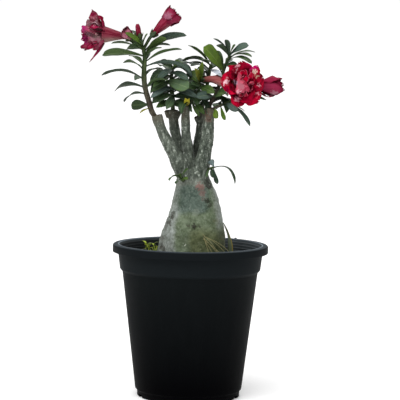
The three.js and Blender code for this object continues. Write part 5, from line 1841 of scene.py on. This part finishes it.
# Marks on the blooms as (x, z, radius, colour), in mm. The pale marks of the red bloom are painted
# highlights, and the first two crimson marks are a painted sheen on the top bloom.
PINK_FLECKS = [
    (-154, 576, 12, srgb(184, 146, 146)), (-155, 597, 9, srgb(198, 160, 168)),
    (-176, 587, 17, srgb(158, 30, 98)), (-173, 570, 16, srgb(152, 28, 92)),
    (-146, 601, 12, srgb(118, 2, 34)), (-160, 556, 14, srgb(120, 2, 40)), (-161, 610, 13, srgb(112, 2, 44)),
    (-166, 580, 7, srgb(190, 146, 160)),
]
CRIMSON_MARKS_AND_SHEEN = [
    (-41, 609, 15, srgb(150, 92, 112)), (-50, 600, 9, srgb(146, 78, 98)), (129, 489, 14, srgb(146, 100, 112)),
]
RED_MARKS_AND_HIGHLIGHTS = [
    (94, 533, 22, srgb(190, 6, 98)), (50, 489, 18, srgb(120, 4, 60)), (69, 534, 9, srgb(246, 170, 186)),
    (67, 526, 6, srgb(240, 176, 188)), (51, 508, 11, srgb(252, 206, 214)), (97, 525, 9, srgb(236, 206, 186)),
    (100, 517, 6, srgb(232, 200, 170)), (104, 503, 6, srgb(250, 180, 194)),
    (102, 490, 9, srgb(236, 150, 164)), (69, 481, 10, srgb(242, 160, 178)), (91, 503, 9, srgb(58, 0, 12)),
    (62, 519, 14, srgb(92, 0, 20)), (84, 531, 14, srgb(130, 0, 34)), (86, 482, 14, srgb(150, 0, 40)),
    (58, 496, 9, srgb(104, 0, 26)), (66, 507, 9, srgb(150, 134, 154)), (81, 506, 9, srgb(128, 20, 44)),
    (84, 497, 8, srgb(140, 40, 62)), (72, 493, 7, srgb(198, 140, 152)), (76, 501, 13, srgb(158, 92, 104)),
]


def loose_petals(name):
    """Each loose petal of a bloom as its blade, a random share, its tint and its layer."""
    for root, tip, w, bow, roll, toward, tint, layer in LOOSE_PETALS.get(name, ()):
        dice = draw(root[0] + tip[1])
        spec = {
            **PETAL, "b": place_at(*root), "t": place_at(*tip), "w": w, "bow": bow,
            "up": np.array(toward, float), "wave": 1.0, "phase": dice * 6, "roll": roll,
        }
        yield spec, dice, tint, layer


def tube_skin(name, path):
    """A bloom's tube with five shallow flutes."""
    def flute(t, a):
        return 1 + 0.05 * np.cos(5 * a) * ramp(t, 0.1, 0.9)

    rings = tube_points(path, TUBE_STEPS, TUBE_SIDES, flute)
    facts = dict.fromkeys(FACT_NAMES, np.zeros(len(rings) * TUBE_SIDES))
    facts["along"] = np.repeat(np.linspace(0, 1, len(rings)), TUBE_SIDES)
    facts["across"] = np.tile(np.abs(np.linspace(-1, 1, TUBE_SIDES)), len(rings))
    out = np.concatenate([unit(ring - ring.mean(0)) for ring in rings])
    facts["tint"] = ramp(-out[:, 2], 0.1, 0.9)
    facts["dice"] = np.full(len(rings) * TUBE_SIDES, draw(path[0][0]))
    return ring_mesh(name, rings, np.stack(list(facts.values()), 1))


def make_bloom(name, b, petal, tube):
    """A bloom or bud as one piece, its tube and petals."""
    path = b["tube"]
    if name in FLARED_TUBES:
        path = [[*point[:3], r] for point, r in zip(path, FLARED_TUBES[name])]
    parts = [shown(tube_skin(name + "_flower", path), tube)]
    blades = Blades()
    forms = PETAL_FORMS.get(name, {})
    mouth = along(b["tube"], 1)[0]
    kind = PETAL_KINDS.get(name, "petal")
    for number, (spec, dice, layer) in enumerate(bloom_petals(b)):
        if name in FLARED_TUBES and layer == 0:
            spec["b"] = mouth + (spec["b"] - mouth) * ROOTS_OUT
        fine = {**spec, "kind": kind, **forms.get(number, {})}
        tint = PETAL_TINTS.get(name, {}).get(number, BLOOM_TINTS.get(name, 0.0))
        depth = 0.6 if fine["kind"] == "fan" else layer / 3
        frills = min(0.5 * b["ruffle"], 0.05 * fine["w"])
        blades.add(fine, *PETAL_MESH, frills=frills, dice=dice, tint=tint, ragged=0.045, layer=depth)
    for spec, dice, tint, layer in loose_petals(name):
        blades.add(spec, *LOOSE_PETAL_MESH, frills=0.8, dice=dice, tint=tint, ragged=0.03, layer=layer)
    if blades.count:
        parts.append(shown(blades.mesh(name + "_petals"), petal))
    whole = joined(name + "_flower", parts) if blades.count else parts[0]
    placed(whole, SLOTS[name], name)
    return whole


# Straws, grass and weeds
GRASS = {
    **PLAIN, "kind": "strap", "b": np.array([59.0, -22, 214]), "t": np.array([51.5, -37, 284]),
    "w": 12, "bow": 2, "sweep": 7.5, "up": np.array([0.3, -1, 0]), "root": 0.6,
}
WEED_LEAF = {**PLAIN, "kind": "strap", "bow": 1.3, "root": 0.15}
WEED_LEAVES = 6
MAT_BLADES = 130


def make_straws(tree):
    """The seen straws and three finer ones."""
    lines = [fine_line([[*p[:3], STRAW_R * 0.7] for p in s], 12) for s in STRAWS]
    for k in range(3):
        x = mix(42, 66, draw(k + 300))
        foot = [x + 5, -54 - 4 * draw(k + 310), 209, 0.34]
        bend = [mix(21, x, 0.5), -61, 253 + 4 * draw(k + 350), 0.32]
        end = [18 + 5 * draw(k + 320), -55.5, 263 + 6 * draw(k + 330), 0.24]
        lines.append(fine_line([foot, [x, -60, 236, 0.34], bend, end], 16))
    straws = grown(shown(polyline("straw_tuft", lines)), tree, Sides=7)
    placed(straws, "straw", "straws")


def make_grass(grass):
    """The one long blade beside the caudex."""
    blades = Blades()
    blades.add(GRASS, *GRASS_MESH)
    placed(shown(blades.mesh("grass_leaf"), grass), "weed_green", "grass_blade")


def make_weeds(tree, weed):
    """Three weed stems with their leaves, in a mat of small blades that is higher to the right."""
    stems, blades = [], Blades()
    for x, y, k in WEED_STEMS:
        lean = draw(k + 200) * 8 - 4
        high = 234 + 11 * draw(k + 210)
        foot = [mix(-67, x, 0.4), mix(14, y, 0.4), 209, 1]
        path = [foot, [x, y, 222, 0.9], [x + lean, y + lean * 0.6, high, 0.7]]
        stems.append(fine_line(path, 10, 1, 1))
        for i in range(WEED_LEAVES):
            az = (k * 70 + i * 130) * RAD
            b = along(path, 0.98 - 0.09 * i)[0]
            reach = 8 - 0.5 * i
            t = b + np.array([reach * math.cos(az), reach * math.sin(az), 3])
            blades.add({**WEED_LEAF, "b": b, "t": t, "w": 6}, *WEED_LEAF_MESH, dice=draw(k * 2 + i))
    for k in range(MAT_BLADES):
        x = -70 + 34 * (draw(k + 400) - 0.5)
        y = 14 + 40 * (draw(k + 430) - 0.5)
        az = 2 * math.pi * draw(k + 460)
        size = 3 + 4 * draw(k + 490)
        b = np.array([x, y, 212.0])
        high = 8 + 21 * draw(k + 520) ** 1.5 * ramp(x, -100, -58)
        t = b + np.array([size * math.cos(az), size * math.sin(az), high])
        blades.add({**WEED_LEAF, "b": b, "t": t, "w": 4.4}, *WEED_MAT_MESH, dice=draw(k + 550))
    stem = grown(shown(polyline("weed_stems", stems)), tree, Sides=8)
    leaves = shown(blades.mesh("weed_leaves"), weed)
    placed(stem, "weed_green", "weeds")
    placed(leaves, "weed_green", "weeds")


# Stage
def set_stage():
    """A pale floor, white surroundings, one soft sun and two lamps."""
    half = FLOOR_HALF / MM
    corners = [(-half, -half, -0.4), (half, -half, -0.4), (half, half, -0.4), (-half, half, -0.4)]
    shown(plain_mesh("floor", corners, [(0, 1, 2, 3)]), pale_floor())
    world = bpy.data.worlds.new("studio")
    bpy.context.scene.world = world
    world.use_nodes = True
    nodes, links = world.node_tree.nodes, world.node_tree.links
    place = nodes.new("ShaderNodeTexCoord")
    parts = nodes.new("ShaderNodeSeparateXYZ")
    high = nodes.new("ShaderNodeMapRange")
    for label, value in (("From Min", 0.11), ("From Max", 0.3), ("To Min", HORIZON), ("To Max", SKY)):
        high.inputs[label].default_value = value
    links.new(place.outputs["Generated"], parts.inputs[0])
    links.new(parts.outputs["Z"], high.inputs["Value"])
    links.new(high.outputs["Result"], nodes["Background"].inputs["Strength"])
    nodes["Background"].inputs["Color"].default_value = (1, 1, 1, 1)
    sun = bpy.data.lights.new("soft_sun", "SUN")
    sun.energy, sun.angle = SUN, 60 * RAD
    holder = linked("soft_sun", sun)
    holder.rotation_euler = [angle * RAD for angle in SUN_TURN]
    for name, spot, size, power in LAMPS:
        lamp = bpy.data.lights.new(name, "AREA")
        lamp.shape, lamp.size, lamp.energy = "DISK", size, power
        holder = linked(name, lamp)
        holder.location = spot
        aim = Vector((0, 0, 0.35)) - Vector(spot)
        holder.rotation_euler = aim.to_track_quat("-Z", "Y").to_euler()
    bpy.context.scene.view_settings.view_transform = "Standard"


def set_camera():
    """A camera that sees the pot and plant as the photo does."""
    lens = bpy.data.cameras.new("camera")
    lens.sensor_fit, lens.sensor_width = "HORIZONTAL", SENSOR_WIDTH
    lens.lens = SENSOR_WIDTH * SEEN_FROM / SEEN_WIDTH
    lens.clip_end = 50
    camera = linked("camera", lens)
    camera.location = CAMERA_AT
    turn = (Vector(CAMERA_AIM) - Vector(CAMERA_AT)).to_track_quat("-Z", "Y").to_matrix()
    roll = Euler((0, 0, CAMERA_ROLL * RAD)).to_matrix()
    camera.rotation_euler = (turn @ roll).to_euler()
    bpy.context.scene.camera = camera


# Shade share: how much of the space round a point is taken up by the plant's other parts, which the materials
# turn into painted shade
LOOK_WAYS = 14
LOOK_FROM = 0.0006
LOOK_FAR = 0.06


def look_ways():
    """Directions spread evenly over a ball."""
    i = np.arange(LOOK_WAYS) + 0.5
    z = 1 - 2 * i / LOOK_WAYS
    a = i * math.pi * (3 - math.sqrt(5))
    r = np.sqrt(1 - z * z)
    return [Vector(way) for way in zip(r * np.cos(a), r * np.sin(a), z)]


def note_painted_shade(pieces):
    """Gives each point of the pieces the share of its outward looks that meet a piece near by."""
    points, faces = [], []
    for piece in pieces:
        first = len(points)
        points += [v.co for v in piece.data.vertices]
        faces += [[first + i for i in p.vertices] for p in piece.data.polygons]
    solid = BVHTree.FromPolygons(points, faces)
    ways = look_ways()
    for piece in pieces:
        taken = []
        for v in piece.data.vertices:
            start = v.co + v.normal * LOOK_FROM
            hits = 0
            for way in ways:
                outward = way if way.dot(v.normal) > 0 else -way
                hits += solid.ray_cast(start, outward, LOOK_FAR)[0] is not None
            taken.append(hits / LOOK_WAYS)
        attribute = piece.data.attributes.new("shade_share", "FLOAT", "POINT")
        attribute.data.foreach_set("value", taken)


set_camera()
set_stage()
make_pot(pot_plastic(), pot_inside())
make_soil(potting_soil(), crumb_finish())
plant = [make_trunk(caudex_bark(), cut_wood(), scar_finish())]
green, skin = leaf_green(), stem_skin()
stems = stem_tree(skin)
for shoot in SHOOTS:
    plant += make_shoot(shoot, green, skin, stems)
pink = petal_finish(
    "petal_pink", srgb(96, 0, 30), srgb(142, 18, 62), srgb(206, 166, 174), srgb(152, 86, 106), 0.7, 0.95,
    PINK_FLECKS)
crimson = petal_finish(
    "petal_crimson", srgb(92, 0, 28), srgb(132, 10, 48), srgb(180, 110, 128), srgb(134, 44, 72), 0.35,
    0.8, CRIMSON_MARKS_AND_SHEEN)
red = petal_finish(
    "petal_red", srgb(98, 0, 24), srgb(200, 0, 48), srgb(206, 112, 132), srgb(146, 6, 46), 0.05, 0.4,
    RED_MARKS_AND_HIGHLIGHTS)
pink_tube = tube_finish(
    "tube_pink", srgb(104, 56, 50), srgb(98, 16, 36), srgb(128, 54, 68), srgb(142, 122, 114))
crimson_tube = tube_finish(
    "tube_crimson", srgb(136, 92, 62), srgb(104, 6, 32), srgb(134, 44, 66), srgb(138, 78, 86))
red_tube = tube_finish(
    "tube_red", srgb(104, 62, 52), srgb(134, 68, 68), srgb(160, 98, 96), srgb(156, 140, 132))
BLOOM_SKINS = {
    "bloom_double": (red, red_tube), "bloom_top": (crimson, crimson_tube),
    "bud_small": (crimson, crimson_tube), "bloom_right": (crimson, crimson_tube),
}
for name, b in BLOOMS.items():
    plant.append(make_bloom(name, b, *BLOOM_SKINS.get(name, (pink, pink_tube))))
make_straws(stem_tree(dry_straw()))
make_grass(grass_finish())
make_weeds(stems, weed_finish())
note_painted_shade(plant)
